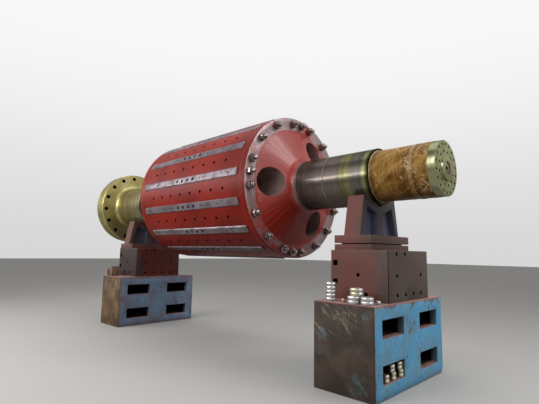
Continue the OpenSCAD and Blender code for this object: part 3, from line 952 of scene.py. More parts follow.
@dataclass(frozen=True)
class RustySide(Finish):
    """A casting's side that has lost its paint: brown, with a few patches of paint and pale scrapes left."""

    brown: Colour = srgb(84, 70, 60)
    dark: Colour = srgb(54, 44, 37)
    paint: Colour = srgb(84, 116, 122)
    scrape: Colour = srgb(164, 156, 130)
    paint_spots: tuple[Spot, ...] = ()
    scrape_spots: tuple[Spot, ...] = ()
    top_line: Colour = srgb(120, 60, 54)
    top_line_from: float = 0.894

    def shade(self, tree: Tree) -> Look:
        """Lays out the brown casting and what is left on it, in patches that slant.

        Args:
            tree: The material's tree.

        Returns:
            What feeds the Principled shader.
        """
        place = tree.place()
        clouds = tree.noise(place, 4.0, 6.0, 0.65, 0.6).ramp(0.35, 0.7)
        fine = tree.noise(place, 60.0, 5.0, 0.7)
        broken = fine.ramp(0.38, 0.56)
        mapping = tree.add("Mapping", vector_type="TEXTURE")
        tree.fill(mapping, Vector=place, Rotation=(0.0, 0.75, 0.0), Scale=(1.8, 1.0, 0.3))
        slanted = Wire(tree, mapping.outputs[0])
        painted = tree.closeness(place, self.paint_spots, 0.24)
        scraped = tree.closeness(place, self.scrape_spots, 0.2)
        left = tree.mask(Patches, slanted, Scale=8.0, Cover=0.07, Edge=0.07, Push=painted) * broken
        pale = tree.mask(Patches, slanted, Scale=13.0, Cover=0.05, Edge=0.06, Push=scraped) * broken
        colour = tree.layered(
            tree.mix(clouds, self.dark, self.brown), (fine.ramp(0.5, 0.75), 0.3, self.dark),
            (left, 0.8, self.paint), (pale, 0.75, self.scrape),
        )
        return {
            "Base Color": tree.over_the_top(colour, place, self.top_line, self.top_line_from),
            "Roughness": 0.5 + fine * 0.3, "Specular IOR Level": 0.3, "Normal": tree.bump(fine, 0.4, 0.0015),
        }


@dataclass(frozen=True)
class Primer(Finish):
    """Dull red-brown primer on a casting: grey on one side, rubbed along its edges, darkened by oil."""

    coat: Colour = srgb(104, 60, 52)
    grey: Colour = srgb(82, 68, 62)
    oil: Colour = srgb(42, 34, 32)
    rubbed: Colour = srgb(132, 98, 88)
    middle: Triple = (0.0, 0.0, 1.0)
    half: Triple = (0.36, 0.477, 0.273)
    grey_side: Triple = (1.0, 0.0, 0.0)
    grey_reach: float = 0.25
    oil_spots: tuple[Spot, ...] = ()

    def shade(self, tree: Tree) -> Look:
        """Lays out the primer, its grey wear, oil and rubbed edges.

        Args:
            tree: The material's tree.

        Returns:
            What feeds the Principled shader.
        """
        place = tree.place()
        lumps = tree.noise(place, 3.0, 5.0, 0.6, 0.5)
        inwards = tree.vector("DOT_PRODUCT", tree.vector("SUBTRACT", place, self.middle), self.grey_side)
        limit = abs(sum(a * b for a, b in zip(self.half, self.grey_side)))
        worn = (inwards + (lumps - 0.5) * 0.5).ramp(limit - self.grey_reach, limit)
        drips = tree.closeness(place, self.oil_spots, 0.22)
        oil = tree.mask(Patches, place, Scale=5.0, Cover=0.2, Edge=0.09, Push=drips)
        edge = tree.mask(BoxEdges, place, Middle=self.middle, Half=self.half, Reach=0.018)
        rub = edge * tree.noise(place, 24.0, 5.0, 0.6).ramp(0.35, 0.6)
        specks = tree.noise(place, 80.0, 5.0, 0.7)
        colour = tree.layered(
            tree.mix(worn, self.coat, self.grey), (lumps.ramp(0.42, 0.7), 0.4, self.grey),
            (tree.mask(Runs, place, Scale=12.0, Cover=0.3), 0.3, self.oil), (oil, 0.55, self.oil),
            (rub, 0.6, self.rubbed), (specks.ramp(0.62, 0.74), 0.25, self.rubbed),
        )
        return {
            "Base Color": colour, "Roughness": 0.5 + specks * 0.25, "Specular IOR Level": 0.3,
            "Normal": tree.bump(specks, 0.35, 0.0014),
        }


@dataclass(frozen=True)
class RingSteel(Finish):
    """Bright turned packing rings, with lines round them and a little rust."""

    bright: Colour = srgb(206, 204, 206)
    dull: Colour = srgb(150, 146, 144)
    rust: Colour = srgb(112, 82, 60)
    rust_cover: float = 0.1

    def shade(self, tree: Tree) -> Look:
        """Lays out the turned lines and the rust spots.

        Args:
            tree: The material's tree.

        Returns:
            What feeds the Principled shader.
        """
        place = tree.place()
        lines = tree.noise(tree.stretched(place, 6.0, 6.0, 420.0), 1.0, 3.0, 0.6)
        tone = lines * 0.45 + tree.noise(place, 26.0, 5.0, 0.6).ramp(0.35, 0.7) * 0.4
        spots = tree.mask(Patches, place, Scale=30.0, Cover=self.rust_cover, Edge=0.04)
        return {
            "Base Color": tree.mix(spots * 0.6, tree.mix(tone, self.bright, self.dull), self.rust),
            "Roughness": 0.24 + tone * 0.2, "Metallic": 0.8, "Normal": tree.bump(lines, 0.25, 0.0006),
        }


@dataclass(frozen=True)
class Weathered(Finish):
    """Weathered sawn timber, with upright grain and the end that stood in dirt stained."""

    light: Colour = srgb(152, 134, 108)
    dark: Colour = srgb(96, 74, 54)
    foot: Colour = srgb(88, 46, 36)
    foot_from: float = 0.9
    foot_to: float = 0.96

    def shade(self, tree: Tree) -> Look:
        """Lays out the grain and the stains.

        Args:
            tree: The material's tree.

        Returns:
            What feeds the Principled shader.
        """
        place = tree.place()
        grain = tree.noise(tree.stretched(place, 80.0, 60.0, 6.0), 1.0, 5.0, 0.65, 0.6)
        stains = tree.noise(place, 14.0, 5.0, 0.6)
        tone = (grain * 0.7 + stains * 0.5).clamped()
        height = tree.split(place)[2] + stains * 0.03
        colour = tree.mix(tone.ramp(0.35, 0.8), self.light, self.dark)
        return {
            "Base Color": tree.mix(height.ramp(self.foot_to, self.foot_from), colour, self.foot),
            "Roughness": 0.85, "Normal": tree.bump(grain, 0.5, 0.002),
        }


@dataclass(frozen=True)
class DarkHollow(Finish):
    """The inside of a casting or hole: near black as painted shade over some dirt, with settled dust and a pink
    rubbed sill.
    """

    # Near black: painted shade inside holes and hollows, over some dirt.
    dark_tone: Colour = srgb(24, 21, 20)
    dust: Colour = srgb(58, 52, 48)
    sill: Colour = srgb(146, 108, 104)
    sill_from: float = 100.0

    def shade(self, tree: Tree) -> Look:
        """Lays out the near-black painted shade with settled dust.

        Args:
            tree: The material's tree.

        Returns:
            What feeds the Principled shader.
        """
        place = tree.place()
        lumps = tree.noise(place, 22.0, 5.0, 0.65)
        dusty = tree.mask(Settled, place, Facing=tree.facing(), Scale=9.0)
        outer = tree.split(place)[0] + lumps * 0.02
        lip = outer.ramp(self.sill_from, self.sill_from + 0.02) * lumps.ramp(0.2, 0.5)
        # The base colour is painted shade, lightened where dust has settled.
        colour = tree.mix(dusty * 0.6, self.dark_tone, self.dust)
        return {
            "Base Color": tree.mix(lip, colour, self.sill), "Roughness": 0.85, "Specular IOR Level": 0.2,
            "Normal": tree.bump(lumps, 0.4, 0.002),
        }


Rule = Callable[[Vector, Vector], bool]
EdgeRule = Callable[[bmesh.types.BMEdge], bool]
Relief = Callable[[Vector], float]
Profile = list[tuple[float, float]]


def linked(name: str, data: bpy.types.ID) -> bpy.types.Object:
    """Makes an object and links it to the scene.

    Args:
        name: Its name.
        data: Its mesh, lamp or camera.

    Returns:
        The object.
    """
    made = bpy.data.objects.new(name, data)
    bpy.context.scene.collection.objects.link(made)
    return made


@dataclass
class Workpiece:
    """A mesh on the bench: made or copied, shaped, given its finishes, and then set in place as a piece."""

    name: str
    body: Body
    finishes: list[Finish]
    mesh: bmesh.types.BMesh = field(default_factory=bmesh.new)

    @classmethod
    def from_node(cls, node: str, name: str, body: Body, finishes: list[Finish]) -> "Workpiece":
        """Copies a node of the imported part, merges its doubled points and joins each flat face's triangles.

        Args:
            node: The node's name.
            name: The new piece's name.
            body: The body that it rides on.
            finishes: Its finishes, the first one for all faces.

        Returns:
            The workpiece.
        """
        piece = cls(name, body, finishes)
        piece.mesh.from_mesh(bpy.data.objects[node].data)
        bmesh.ops.remove_doubles(piece.mesh, verts=piece.mesh.verts, dist=1e-5)
        piece.assign(0, lambda middle, normal: True)
        bmesh.ops.dissolve_limit(
            piece.mesh, angle_limit=math.radians(0.3), use_dissolve_boundaries=False,
            verts=piece.mesh.verts, edges=piece.mesh.edges, delimit={"NORMAL"},
        )
        return piece

    def sharp_edges(self, angle: float) -> list[bmesh.types.BMEdge]:
        """Finds the edges between two faces that bend more than an angle in degrees."""
        limit = math.radians(angle)
        return [e for e in self.mesh.edges if len(e.link_faces) == 2 and e.calc_face_angle(0.0) > limit]

    def round_edges(self, width: float, angle: float = 35.0, rule: EdgeRule = lambda edge: True) -> None:
        """Rounds the sharp edges in two steps.

        Args:
            width: The rounding's width in metres.
            angle: How sharp an edge has to be, in degrees.
            rule: A further test on each edge.
        """
        edges = [e for e in self.sharp_edges(angle) if rule(e)]
        bmesh.ops.bevel(
            self.mesh, geom=edges, offset=width, offset_type="OFFSET", segments=2, profile=0.5,
            affect="EDGES", clamp_overlap=True, material=-1,
        )

    def cut_corner(self, point: Triple, outwards: Triple) -> None:
        """Breaks a corner off along a plane and closes the break.

        Args:
            point: A point on the plane.
            outwards: The plane's direction, towards the corner that goes.
        """
        geometry = list(self.mesh.verts) + list(self.mesh.edges) + list(self.mesh.faces)
        cut = bmesh.ops.bisect_plane(
            self.mesh, geom=geometry, plane_co=point, plane_no=outwards, clear_outer=True,
        )
        rim = [e for e in cut["geom_cut"] if isinstance(e, bmesh.types.BMEdge)]
        bmesh.ops.contextual_create(self.mesh, geom=rim)
        bmesh.ops.recalc_face_normals(self.mesh, faces=self.mesh.faces)

    def assign(self, index: int, rule: Rule) -> None:
        """Gives the faces that pass a test another of the finishes.

        Args:
            index: The finish's place in the list.
            rule: The test on a face's middle and normal.
        """
        for face in self.mesh.faces:
            if rule(face.calc_center_median(), face.normal):
                face.material_index = index

    def lathe(
        self, profile: Sequence[tuple[float, float]], steps: int,
        centre: tuple[float, float] = (0.0, AXIS_HEIGHT), closed: bool = False,
    ) -> None:
        """Turns a profile round a line that runs along X.

        Args:
            profile: Its points, as place along the line and radius.
            steps: Its number of steps around.
            centre: The line's Y and Z.
            closed: Whether the profile's last point joins its first.
        """
        y, z = centre
        verts = [self.mesh.verts.new((x, y, z + r)) for x, r in profile]
        pairs = list(zip(verts, verts[1:]))
        if closed:
            pairs.append((verts[-1], verts[0]))
        edges = [self.mesh.edges.new(pair) for pair in pairs]
        bmesh.ops.spin(
            self.mesh, geom=verts + edges, cent=(0.0, y, z), axis=(1.0, 0.0, 0.0),
            angle=2 * math.pi, steps=steps, use_merge=True, use_duplicate=False,
        )

    def close_seams(self) -> None:
        """Merges doubled points and turns all faces outwards."""
        bmesh.ops.remove_doubles(self.mesh, verts=self.mesh.verts, dist=1e-6)
        bmesh.ops.recalc_face_normals(self.mesh, faces=self.mesh.faces)

    def crumple(self, base: float, relief: Relief) -> None:
        """Moves the points outside a radius in or out, along their own radius.

        Args:
            base: The radius past which a point moves.
            relief: Gives the new radius of a point.
        """
        for vert in self.mesh.verts:
            radius = radius_of(vert.co)
            if radius < base:
                continue
            share = relief(vert.co) / radius
            vert.co.y *= share
            vert.co.z = AXIS_HEIGHT + (vert.co.z - AXIS_HEIGHT) * share

    def stamp(self, pattern: "Workpiece", places: Iterable[Matrix]) -> None:
        """Adds a copy of a pattern at each place, and puts the pattern away.

        Args:
            pattern: The workpiece to copy.
            places: Where the copies go.
        """
        data = bpy.data.meshes.new(pattern.name)
        pattern.mesh.to_mesh(data)
        pattern.mesh.free()
        for place in places:
            start = len(self.mesh.verts)
            self.mesh.from_mesh(data)
            self.mesh.verts.ensure_lookup_table()
            bmesh.ops.transform(self.mesh, matrix=place, verts=self.mesh.verts[start:])
        bpy.data.meshes.remove(data)

    def set_down(self, *nodes: str, slot: str, smooth: float = 30.0) -> None:
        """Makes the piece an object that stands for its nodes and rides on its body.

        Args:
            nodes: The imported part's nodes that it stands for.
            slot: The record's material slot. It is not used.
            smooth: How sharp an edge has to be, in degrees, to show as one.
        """
        for face in self.mesh.faces:
            face.smooth = True
        for edge in self.sharp_edges(smooth):
            edge.smooth = False
        data = bpy.data.meshes.new(self.name)
        self.mesh.to_mesh(data)
        self.mesh.free()
        for finish in self.finishes:
            data.materials.append(finish.material())
        made = linked(self.name, data)
        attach(made, self.body.value)
        if nodes:
            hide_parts(*nodes)
        log.info("%s: %d faces on %s", self.name, len(data.polygons), self.body.value)


def bore_distance(point: Vector) -> float:
    """Gives the distance of a point from the nearest lightening bore's axis."""
    return min(math.hypot(point.y - y, point.z - z) for y, z in BORE_PLACES)


def in_bore(middle: Vector, normal: Vector) -> bool:
    """Tells whether a face lies on a lightening bore's wall."""
    return bore_distance(middle) < BORE_RADIUS + 0.004 and abs(normal.x) < 0.5


def radius_of(point: Vector) -> float:
    """Gives the distance of a point from the rotor's axis."""
    return math.hypot(point.y, point.z - AXIS_HEIGHT)


def middle_of(edge: bmesh.types.BMEdge) -> Vector:
    """Gives the middle of an edge."""
    return (edge.verts[0].co + edge.verts[1].co) / 2


def outside(radius: float) -> EdgeRule:
    """Gives the test of whether both of an edge's ends lie outside a radius."""
    return lambda edge: min(radius_of(vert.co) for vert in edge.verts) > radius


def turned(degrees: float) -> Vector:
    """Gives the outward direction at an angle on the rotor, counter-clockwise from the +Y side."""
    angle = math.radians(degrees)
    return Vector((0.0, math.cos(angle), math.sin(angle)))


def within(point: Vector, low: Vector, high: Vector, margin: float) -> bool:
    """Tells whether a point lies in a box, further than a margin from its sides."""
    return all(a + margin < v < b - margin for a, v, b in zip(low, point, high))


@dataclass
class Drum:
    """The rotor's drum, its end discs with their cones, and the machined bars that the poles sit on."""

    paint: GlossPaint = GlossPaint("red_gloss_paint")
    near_paint: PaintToSteel = PaintToSteel(
        "red_paint_to_bare_ring",
        oversprayed=(
            Spot(1.42, -0.7, 1.74, 0.36), Spot(1.42, -0.39, 1.5, 0.4),
            Spot(1.42, 0.02, 1.41, 0.34), Spot(1.42, 0.24, 3.22, 0.24),
        ),
    )
    far_paint: PaintToSteel = PaintToSteel(
        "red_paint_to_bare_ring_far", bare_face=1.1885, neck_place=1.415, outward=-1.0,
        steel=srgb(210, 202, 168), stain=srgb(168, 156, 120),
    )
    bore_steel: MachinedSteel = MachinedSteel(
        "bored_steel", light=srgb(196, 170, 164), dark=srgb(140, 114, 108), smear_cover=0.1, rough=0.3,
        grain=(150.0, 6.0, 6.0), metal=0.35,
    )
    bar_steel: MachinedSteel = MachinedSteel(
        "bar_steel", light=srgb(150, 140, 147), dark=srgb(92, 78, 80), smear_cover=0.2, metal=0.4,
    )
    # Hole walls are coloured near black: painted shade, over some dirt.
    hole: DarkHollow = DarkHollow("painted_shade_hole", dark_tone=srgb(22, 12, 10), dust=srgb(40, 22, 18))
    skin: float = 0.992
    disc_skin: float = 0.95
    middle: float = 0.115
    half_row: float = 1.15
    first_bar: float = 16.25
    seat_top: float = 1.008
    seat_half_width: float = 0.051
    bar_top: float = 1.004
    bar_half_width: float = 0.0535

    def aside(self, point: Vector) -> float:
        """Gives how far a point lies to the side of the nearest bar's middle."""
        angle = math.degrees(math.atan2(point.z - AXIS_HEIGHT, point.y)) - self.first_bar
        offset = (angle + POLE_PITCH / 2) % POLE_PITCH - POLE_PITCH / 2
        return radius_of(point) * abs(math.sin(math.radians(offset)))

    def in_seat_hole(self, middle: Vector, normal: Vector) -> bool:
        """Tells whether a face of a bar lies in one of its holes."""
        beside = abs(middle.x - self.middle) >= self.half_row or self.aside(middle) >= self.seat_half_width
        return not beside and radius_of(middle) < self.seat_top

    def on_bar_edge(self, edge: bmesh.types.BMEdge) -> bool:
        """Tells whether an edge runs round the top of a bar."""
        at = middle_of(edge)
        outer = self.aside(at) > self.bar_half_width or abs(at.x - self.middle) > self.half_row
        return outer and radius_of(at) > self.bar_top

    def body(self) -> None:
        """Dresses the drum itself."""
        finishes = [self.paint, self.bore_steel, self.hole]
        piece = Workpiece.from_node("rotor_body", "drum_shell", Body.ROTOR, finishes)
        # The walls of the drum's holes take the painted shade.
        piece.assign(2, lambda middle, normal: radius_of(middle) < self.skin and abs(normal.x) < 0.99)
        piece.assign(1, in_bore)
        piece.set_down("rotor_body", slot="red_drum")

    def bars(self) -> None:
        """Dresses the pole seat bars, with their upper edges bevelled."""
        piece = Workpiece.from_node("pole_seat_bars", "pole_seats", Body.ROTOR, [self.bar_steel, self.hole])
        # The walls of the bars' holes take the painted shade.
        piece.assign(1, self.in_seat_hole)
        piece.round_edges(0.005, rule=self.on_bar_edge)
        piece.set_down("pole_seat_bars", slot="machined_bar")

    def discs(self) -> None:
        """Dresses the two end discs, their rims eased."""
        for side, finish in (("near", self.near_paint), ("far", self.far_paint)):
            node = f"{side}_end_disc"
            finishes = [finish, self.bore_steel, self.paint]
            piece = Workpiece.from_node(node, f"{side}_cone_disc", Body.ROTOR, finishes)
            piece.assign(1, in_bore)
            piece.assign(2, lambda middle, normal: radius_of(middle) > self.disc_skin and abs(normal.x) < 0.5)
            piece.round_edges(0.003, 60.0, outside(0.99))
            piece.set_down(node, slot=f"{side}_cone")

    def build(self) -> None:
        """Builds the drum's pieces."""
        self.body()
        self.bars()
        self.discs()


@dataclass
class ClampRods:
    """The rods that clamp the drum between its end discs, with their threads and nuts."""

    circle: float = 0.92
    first: float = 5.0
    between: int = 16
    extras: tuple[float, ...] = (83.75, 173.75, 263.75, 353.75)
    near_face: float = 1.42
    far_face: float = -1.19
    reach: float = 0.104
    crest: float = 0.03
    root: float = 0.0275
    thread: float = 0.0055
    run_out: float = 0.004
    nut_half: float = 0.049
    nut_height: float = 0.062
    nut_clearance: float = 0.0005
    nut_lead: float = 0.004
    chamfer: float = 0.007
    turn_form: tuple[float, ...] = (0.15, 0.4, 0.6, 0.85)
    tip_form: tuple[tuple[float, float], ...] = (
        (0.009, 0.0285), (0.004, 0.0262), (0.001, 0.0215), (0.0, 0.016), (0.0, 0.0),
    )
    seed: int = 11
    steel: BoltSteel = BoltSteel("bright_rod_steel", sprayed=-1.0)
    near_steel: BoltSteel = BoltSteel("near_nut_steel")
    far_steel: BoltSteel = BoltSteel("far_nut_steel", face=1.19, outward=-1.0)

    def angles(self) -> list[float]:
        """Gives the angles of all rods."""
        return [self.first + POLE_PITCH * i for i in range(self.between)] + list(self.extras)

    def threaded(self, face: float, outward: float) -> Profile:
        """Gives the profile of a rod's threaded end, from the disc's face out to its rounded tip.

        Args:
            face: The disc's face.
            outward: 1 or -1, the way that the end points.

        Returns:
            The profile's points.
        """
        points = [(self.nut_height - 2 * self.run_out, self.root)]
        for turn in range(int((self.reach - self.nut_height - self.run_out) / self.thread)):
            start = self.nut_height - self.run_out + turn * self.thread
            for share, radius in zip(self.turn_form, (self.root, self.crest, self.crest, self.root)):
                points.append((start + share * self.thread, radius))
        points += [(self.reach - back, radius) for back, radius in self.tip_form]
        return [(face + outward * place, radius) for place, radius in points]

    def rods(self) -> None:
        """Turns all rods from end to end."""
        profile = self.threaded(self.far_face, -1.0)[::-1] + self.threaded(self.near_face, 1.0)
        pattern = Workpiece("rod_pattern", Body.ROTOR, [])
        pattern.lathe(profile, 20, (0.0, 0.0))
        pattern.close_seams()
        piece = Workpiece("clamp_rods_threaded", Body.ROTOR, [self.steel])
        axis = Vector((0.0, 0.0, AXIS_HEIGHT))
        piece.stamp(pattern, [Matrix.Translation(axis + turned(a) * self.circle) for a in self.angles()])
        piece.set_down("clamp_rods", slot="bright_rod", smooth=50.0)

    def nut(self) -> Workpiece:
        """Turns one chamfered nut and draws its outside out to six flats.

        Returns:
            The nut, with the middle of its seat at the origin.
        """
        bore = self.crest + self.nut_clearance
        bevelled = self.nut_half + self.chamfer
        rise = self.chamfer * 0.55
        top = self.nut_height
        profile = (
            (0.0, bore), (0.0, self.nut_half), (rise, bevelled), (top - rise, bevelled), (top, self.nut_half),
            (top, self.crest + self.nut_lead), (top - self.nut_lead, bore),
        )
        piece = Workpiece("nut_pattern", Body.ROTOR, [])
        piece.lathe(profile, 36, (0.0, 0.0), closed=True)
        for vert in piece.mesh.verts:
            radius = math.hypot(vert.co.y, vert.co.z)
            if radius < self.nut_half + 1e-5:
                continue
            angle = math.degrees(math.atan2(vert.co.z, vert.co.y))
            flat = self.nut_half / math.cos(math.radians((angle + 30.0) % 60.0 - 30.0))
            vert.co.y *= flat / radius
            vert.co.z *= flat / radius
        piece.close_seams()
        return piece

    def nuts(self) -> None:
        """Sets a nut on each end of each rod, each turned as it happened to stop."""
        chance = random.Random(self.seed)
        for side, face, half_turn, finish in (
            ("near", self.near_face, 0.0, self.near_steel),
            ("far", self.far_face, math.pi, self.far_steel),
        ):
            piece = Workpiece(f"{side}_nuts", Body.ROTOR, [finish])
            places = []
            for angle in self.angles():
                spot = Vector((face, 0.0, AXIS_HEIGHT)) + turned(angle) * self.circle
                spin = Matrix.Rotation(chance.uniform(0.0, math.pi / 3), 4, "X")
                places.append(Matrix.Translation(spot) @ Matrix.Rotation(half_turn, 4, "Z") @ spin)
            piece.stamp(self.nut(), places)
            piece.set_down(f"{side}_rod_nuts", slot=f"{side}_nut", smooth=25.0)

    def build(self) -> None:
        """Builds the rods and nuts."""
        self.rods()
        self.nuts()


@dataclass
class Shafts:
    """The drilled shaft, the thicker shaft and the coupling flange."""

    near_steel: TurnedSteel = TurnedSteel(
        "near_shaft_steel", lowest=1.6, highest=2.8,
        bands=(
            Band(1.6, srgb(112, 102, 97)), Band(2.373, srgb(120, 116, 82)), Band(2.53, srgb(100, 97, 91)),
            Band(2.69, srgb(128, 126, 88)), Band(2.742, srgb(62, 62, 40)),
        ),
    )
    far_steel: TurnedSteel = TurnedSteel(
        "far_shaft_steel", lowest=-3.2, highest=-1.4,
        bands=(
            Band(-3.2, srgb(184, 174, 124)), Band(-2.9, srgb(168, 158, 120)),
            Band(-2.37, srgb(148, 138, 122)),
        ),
    )
    oiled: OiledSteel = OiledSteel(
        "oiled_flange_steel", thin=srgb(202, 194, 138), thick=srgb(164, 152, 92),
        cover=0.15, rough=0.28, metal=0.7,
    )
    end_face: OiledSteel = OiledSteel(
        "oiled_end_steel", thin=srgb(172, 174, 136), thick=srgb(130, 130, 92),
        cover=0.14, rough=0.34, metal=0.6,
    )
    plug_face: OiledSteel = OiledSteel(
        "oiled_plug_steel", thin=srgb(168, 158, 140), thick=srgb(132, 120, 100),
        cover=0.1, rough=0.36, metal=0.5,
    )
    collar: OiledSteel = OiledSteel(
        "oiled_collar_steel", thin=srgb(206, 208, 174), thick=srgb(152, 152, 114),
        cover=0.12, rough=0.15, metal=0.75,
    )
    # Hole and socket walls are coloured near black: painted shade, over some dirt.
    hole: DarkHollow = DarkHollow("painted_shade_end_hole", dark_tone=srgb(14, 13, 10), dust=srgb(30, 28, 20))
    scribe: PaleFilm = PaleFilm("scribed_line", pale=srgb(206, 192, 150), under=srgb(150, 136, 100))
    end: float = 3.53
    end_hole_depth: float = 0.09
    hair: float = 1e-4
    end_holes: tuple[float, float] = (0.16, 0.29)
    end_radius: float = 0.3
    boss_radius: float = 0.137
    socket_radius: float = 0.08
    plug_edge: float = 0.07
    collar_start: float = 3.448
    step: float = 2.765
    groove: tuple[float, float] = (2.1245, 2.1315)
    flange_holes: tuple[float, float] = (0.6, 0.7)

    def in_end_hole(self, middle: Vector, normal: Vector) -> bool:
        """Tells whether a face lies in one of the drilled end's tapped holes."""
        sunk = self.end - self.end_hole_depth < middle.x < self.end - self.hair
        return sunk and self.end_holes[0] < radius_of(middle) < self.end_holes[1]

    def in_socket(self, middle: Vector, normal: Vector) -> bool:
        """Tells whether a face is the drilled end, or lies in the socket that the plug is sunk in."""
        return middle.x > self.collar_start and (normal.x > 0.5 or radius_of(middle) < self.socket_radius)

    def on_end_rim(self, edge: bmesh.types.BMEdge) -> bool:
        """Tells whether an edge is the drilled end's rim or the rim of its boss."""
        at = middle_of(edge)
        radius = radius_of(at)
        rim = radius > self.end_radius or abs(radius - self.boss_radius) < 10 * self.hair
        return at.x > self.end - self.hair and rim

    def near(self) -> None:
        """Dresses the drilled shaft: banded steel, an oiled collar and end face, and tapped holes in painted
        shade.
        """
        finishes = [self.near_steel, self.collar, self.end_face, self.hole, self.scribe]
        piece = Workpiece.from_node("near_shaft", "drilled_shaft", Body.ROTOR, finishes)
        piece.assign(1, lambda middle, normal: middle.x > self.step + 0.01)
        piece.assign(2, self.in_socket)
        # The tapped holes take the painted shade.
        piece.assign(3, self.in_end_hole)
        piece.assign(4, lambda middle, normal: self.groove[0] < middle.x < self.groove[1])
        piece.round_edges(0.002, 60.0, self.on_end_rim)
        piece.set_down("near_shaft", slot="near_forging")

    def far(self) -> None:
        """Dresses the thicker shaft and the coupling flange."""
        piece = Workpiece.from_node("far_shaft", "thick_shaft", Body.ROTOR, [self.far_steel])
        piece.set_down("far_shaft", slot="far_forging")
        piece = Workpiece.from_node("coupling_flange", "coupling", Body.ROTOR, [self.oiled, self.hole])
        inner, outer = self.flange_holes
        # The bolt holes' walls take the painted shade.
        piece.assign(1, lambda middle, normal: abs(normal.x) < 0.05 and inner < radius_of(middle) < outer)
        piece.set_down("coupling_flange", slot="oiled_flange")

    def plug(self) -> None:
        """Dresses the plug sunk into the end's boss."""
        piece = Workpiece.from_node("centre_plug", "end_plug", Body.ROTOR, [self.plug_face, self.hole])
        # The socket's walls take the painted shade.
        piece.assign(1, lambda middle, normal: abs(normal.x) < 0.05 and radius_of(middle) < self.plug_edge)
        piece.round_edges(0.004, 60.0, outside(self.plug_edge))
        piece.set_down("centre_plug", slot="oiled_plug")

    def build(self) -> None:
        """Builds the shafts' pieces."""
        self.near()
        self.far()
        self.plug()


@dataclass
class JournalWrapping:
    """The waxed film wound round the drilled shaft's journal, its pale hem and the tape over it."""

    start: float = 2.765
    end: float = 3.448
    inner: float = 0.3053
    outer: float = 0.3093
    tape: tuple[float, float] = (3.238, 3.282)
    tape_outer: float = 0.3114
    tape_lap: float = 0.0006
    hem_place: tuple[float, float] = (2.772, 0.3094)
    hem_half: tuple[float, float] = (0.0045, 0.0035)
    hem_points: int = 10
    folds: tuple[Triple, ...] = ((2.6, 4.5, 0.55), (-4.7, 6.0, 0.3), (0.0, 11.0, 0.15))
    along: int = 130
    around: int = 240
    film: WaxedFilm = WaxedFilm("wound_film")
    hem: PaleFilm = PaleFilm(
        "film_hem", pale=srgb(222, 208, 172), under=srgb(178, 158, 112), low=0.3, high=0.5,
    )
    crumpled: PaleFilm = PaleFilm(
        "crumpled_tape", pale=srgb(206, 182, 138), under=srgb(136, 98, 46), low=0.5, high=0.64,
    )

    def fold(self, point: Vector) -> float:
        """Gives the film's radius at a point, with folds that run slantwise round the shaft.

        Args:
            point: The point.

        Returns:
            The radius.
        """
        angle = math.atan2(point.z - AXIS_HEIGHT, point.y)
        total = 0.0
        for twist, scale, share in self.folds:
            lean = angle + twist * point.x
            place = Vector((point.x * 6.0, math.cos(lean) * scale, math.sin(lean) * scale))
            total += share * (1.0 - min(1.0, 2.6 * abs(noise.noise(place))))
        return self.inner + (self.outer - self.inner) * (0.3 + 0.68 * total)

    def crinkle(self, point: Vector) -> float:
        """Gives the tape's radius at a point, finely crumpled."""
        lump = 0.5 + 0.5 * noise.noise(Vector((point.x * 60.0, point.y * 26.0, point.z * 26.0)))
        return self.outer + (self.tape_outer - self.outer) * (0.25 + 0.7 * min(1.0, max(0.0, lump)))

    def sleeve(self, ends: tuple[float, float], inner: float, outer: float, steps: int) -> Profile:
        """Gives the closed profile of a sleeve between two radii, its outside divided into steps."""
        start, end = ends
        outside_points = [(start + (end - start) * i / steps, outer) for i in range(steps + 1)]
        return outside_points + [(end, inner), (start, inner)]

    def bead(self) -> Profile:
        """Gives the hem's profile, a small flattened ring."""
        (x, radius), (half_x, half_r) = self.hem_place, self.hem_half
        turns = [i * 2 * math.pi / self.hem_points for i in range(self.hem_points)]
        return [(x + half_x * math.cos(turn), radius + half_r * math.sin(turn)) for turn in turns]

    def build(self) -> None:
        """Builds the film, the hem and the tape."""
        film = self.sleeve((self.start, self.end), self.inner, self.outer, self.along)
        tape = self.sleeve(self.tape, self.outer - self.tape_lap, self.tape_outer, 14)
        loose, bound = (self.inner + 0.001, self.fold), (self.outer, self.crinkle)
        for name, finish, profile, steps, relief, nodes, slot in (
            ("journal_film", self.film, film, self.around, loose, ["journal_wrap"], "waxed_film"),
            ("film_hem", self.hem, self.bead(), 160, None, [], "waxed_film"),
            ("tape_round_film", self.crumpled, tape, self.around, bound, ["tape_band"], "pale_tape"),
        ):
            piece = Workpiece(name, Body.ROTOR, [finish])
            piece.lathe(profile, steps, closed=True)
            if relief:
                piece.crumple(*relief)
            piece.close_seams()
            piece.set_down(*nodes, slot=slot, smooth=60.0)


